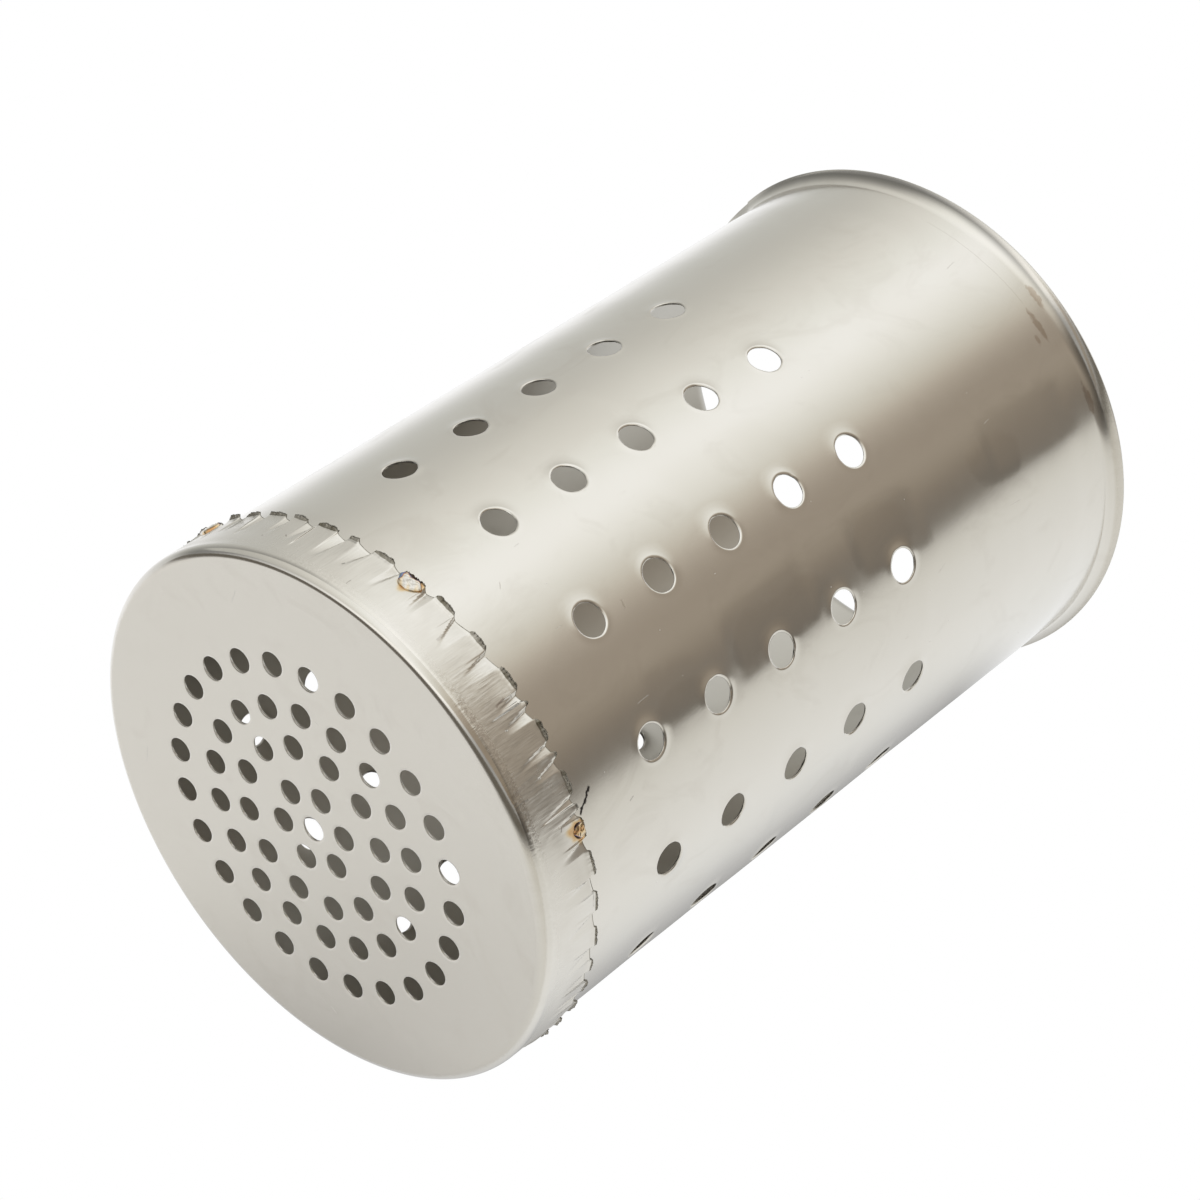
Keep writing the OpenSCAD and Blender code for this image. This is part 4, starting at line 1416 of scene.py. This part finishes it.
def build_table():
    """An upright card on the side away from the softbox: dark near the mold's axis, as the
    mold's own shadow on a table would be, and seen only in reflections."""
    table = plane("studio_table", 2.4)
    normal = Vector(TO_LIGHT)
    table.matrix_world = (Matrix.Translation(-normal * (WALL_R + 1.6) * MM)
                          @ normal.to_track_quat("Z", "Y").to_matrix().to_4x4())
    material = bpy.data.materials.new("studio_table_shadow")
    graph = Graph(material)
    position = graph.make("ShaderNodeNewGeometry").out("Position")
    aside = abs(graph.vector("DOT_PRODUCT", position, ACROSS_LIGHT) * 10.0)
    height = graph.vector("DOT_PRODUCT", position, UP) * 1.0
    cover_aside = graph.ramp(aside, [
        (0.0, 0.95), (0.12, 0.88), (0.22, 0.78), (0.33, 0.62), (0.39, 0.51), (0.46, 0.37),
        (0.54, 0.18), (0.64, 0.06), (0.80, 0.0)])
    cover_up = graph.ramp(height.times_plus(2.0, 0.4), [
        (0.26, 0.0), (0.37, 0.22), (0.405, 0.45), (0.44, 1.0), (0.70, 1.0), (0.745, 0.12),
        (0.80, 0.0)])
    cover = graph.mix(1.0, cover_aside, cover_up, "MULTIPLY")
    graph.see_through(cover, (0.10, 0.09, 0.08, 1))
    stage_plane(table, material, "camera")


def build_front_card():
    """A level card under the mold: a lamp and the dark gap beside it, seen only in
    reflections in the cap's round corner and lips."""
    card = plane("studio_front_card", 1.6, (0, 0, -0.25))
    material = bpy.data.materials.new("studio_front_light")
    graph = Graph(material)
    position = graph.make("ShaderNodeNewGeometry").out("Position")
    diagonal = graph.vector("DOT_PRODUCT", position, (1.0, -1.0, 0.0))
    y = graph.vector("DOT_PRODUCT", position, (0.0, 1.0, 0.0))
    low, span = -0.9, 1.2                     # range of x - y that the ramps cover
    across = (diagonal + 0.9) / span

    def by_diagonal(stops):
        return [((place - low) / span, value) for place, value in stops]

    cover = graph.ramp(across, by_diagonal([(-0.84, 0.0), (-0.60, 1.0), (0.04, 1.0),
                                            (0.11, 0.0)]))
    lamp = graph.ramp(across, by_diagonal([
        (-0.8, (0.60, 0.60, 0.585)), (-0.4, (0.70, 0.70, 0.69)), (-0.128, (0.70, 0.70, 0.69)),
        (-0.108, (0.086, 0.079, 0.066)), (0.02, (0.080, 0.072, 0.060)),
        (0.11, (0.30, 0.30, 0.29))]))
    along_y = graph.ramp(y + 0.5, [
        (0.30, 0.38), (0.40, 0.31), (0.44, 0.35), (0.48, 0.46), (0.53, 1.0), (0.63, 1.0),
        (0.75, 0.58), (0.84, 0.38), (0.95, 0.22)])
    in_lamp = graph.ramp(across, by_diagonal([(-0.13, 1.0), (-0.10, 0.0)]))
    shade = graph.mix(in_lamp, lamp, graph.mix(1.0, lamp, along_y, "MULTIPLY"))
    graph.see_through(cover, shade, strength=2.0)
    stage_plane(card, material, "camera")


def build_near_card():
    """The softbox and room again, close to the cap and reaching below it."""
    card = plane("studio_near_card", 1.0)
    axes = (Vector(ACROSS_LIGHT), Vector((0, 0, 1)), Vector(ACROSS_LIGHT).cross(Vector((0, 0, 1))))
    card.matrix_world = (Matrix.Translation(Vector(TO_LIGHT) * 0.12 + Vector((0, 0, -0.077)))
                         @ Matrix(axes).transposed().to_4x4()
                         @ Matrix.Diagonal((0.9, 0.146, 1.0, 1.0)))
    material = bpy.data.materials.new("studio_near_light")
    graph = Graph(material)
    geometry = graph.make("ShaderNodeNewGeometry")
    direction = graph.scale(geometry.out("Incoming"), -1.0)
    toward = graph.vector("DOT_PRODUCT", direction, TO_LIGHT)
    across = graph.vector("DOT_PRODUCT", direction, ACROSS_LIGHT)
    turn = (graph.math("ARCTAN2", across, toward) * (1 / TAU) + 0.5).clamp()
    colour = graph.ramp(turn, panorama_stops(gain=0.5))
    z = graph.vector("DOT_PRODUCT", geometry.out("Position"), UP)
    cover = graph.ramp(z.times_plus(5.0, 1.0),
                       [(0.24, 0.0), (0.30, 1.0), (0.94, 1.0), (0.985, 0.0)])
    graph.see_through(cover, colour, strength=1.9)
    stage_plane(card, material, "camera")


build_floor()
build_table()
build_front_card()
build_near_card()

# ------------------------------------------------------------------ camera
CAMERA_TURN = ((-0.5001424336684732, -0.37070024412672903, -0.7825847398515767),
               (-0.5773521629455647, 0.816303539026805, -0.01769214838258129),
               (0.6453851764537629, 0.44297839809261197, -0.6222926263720696))
CAMERA_PLACE = (-0.4738678436, -0.0069630226, -0.3001010703)
camera_data = bpy.data.cameras.new("camera")
camera_data.sensor_width = 36.0
camera_data.lens = 100.609
camera_data.clip_start = 0.01
camera_data.clip_end = 50.0
camera = bpy.data.objects.new("camera", camera_data)
bpy.context.scene.collection.objects.link(camera)
camera.matrix_world = Matrix.Translation(CAMERA_PLACE) @ Matrix(CAMERA_TURN).to_4x4()
bpy.context.scene.camera = camera
bpy.context.scene.view_settings.view_transform = "Standard"
bpy.context.scene.view_settings.look = "None"
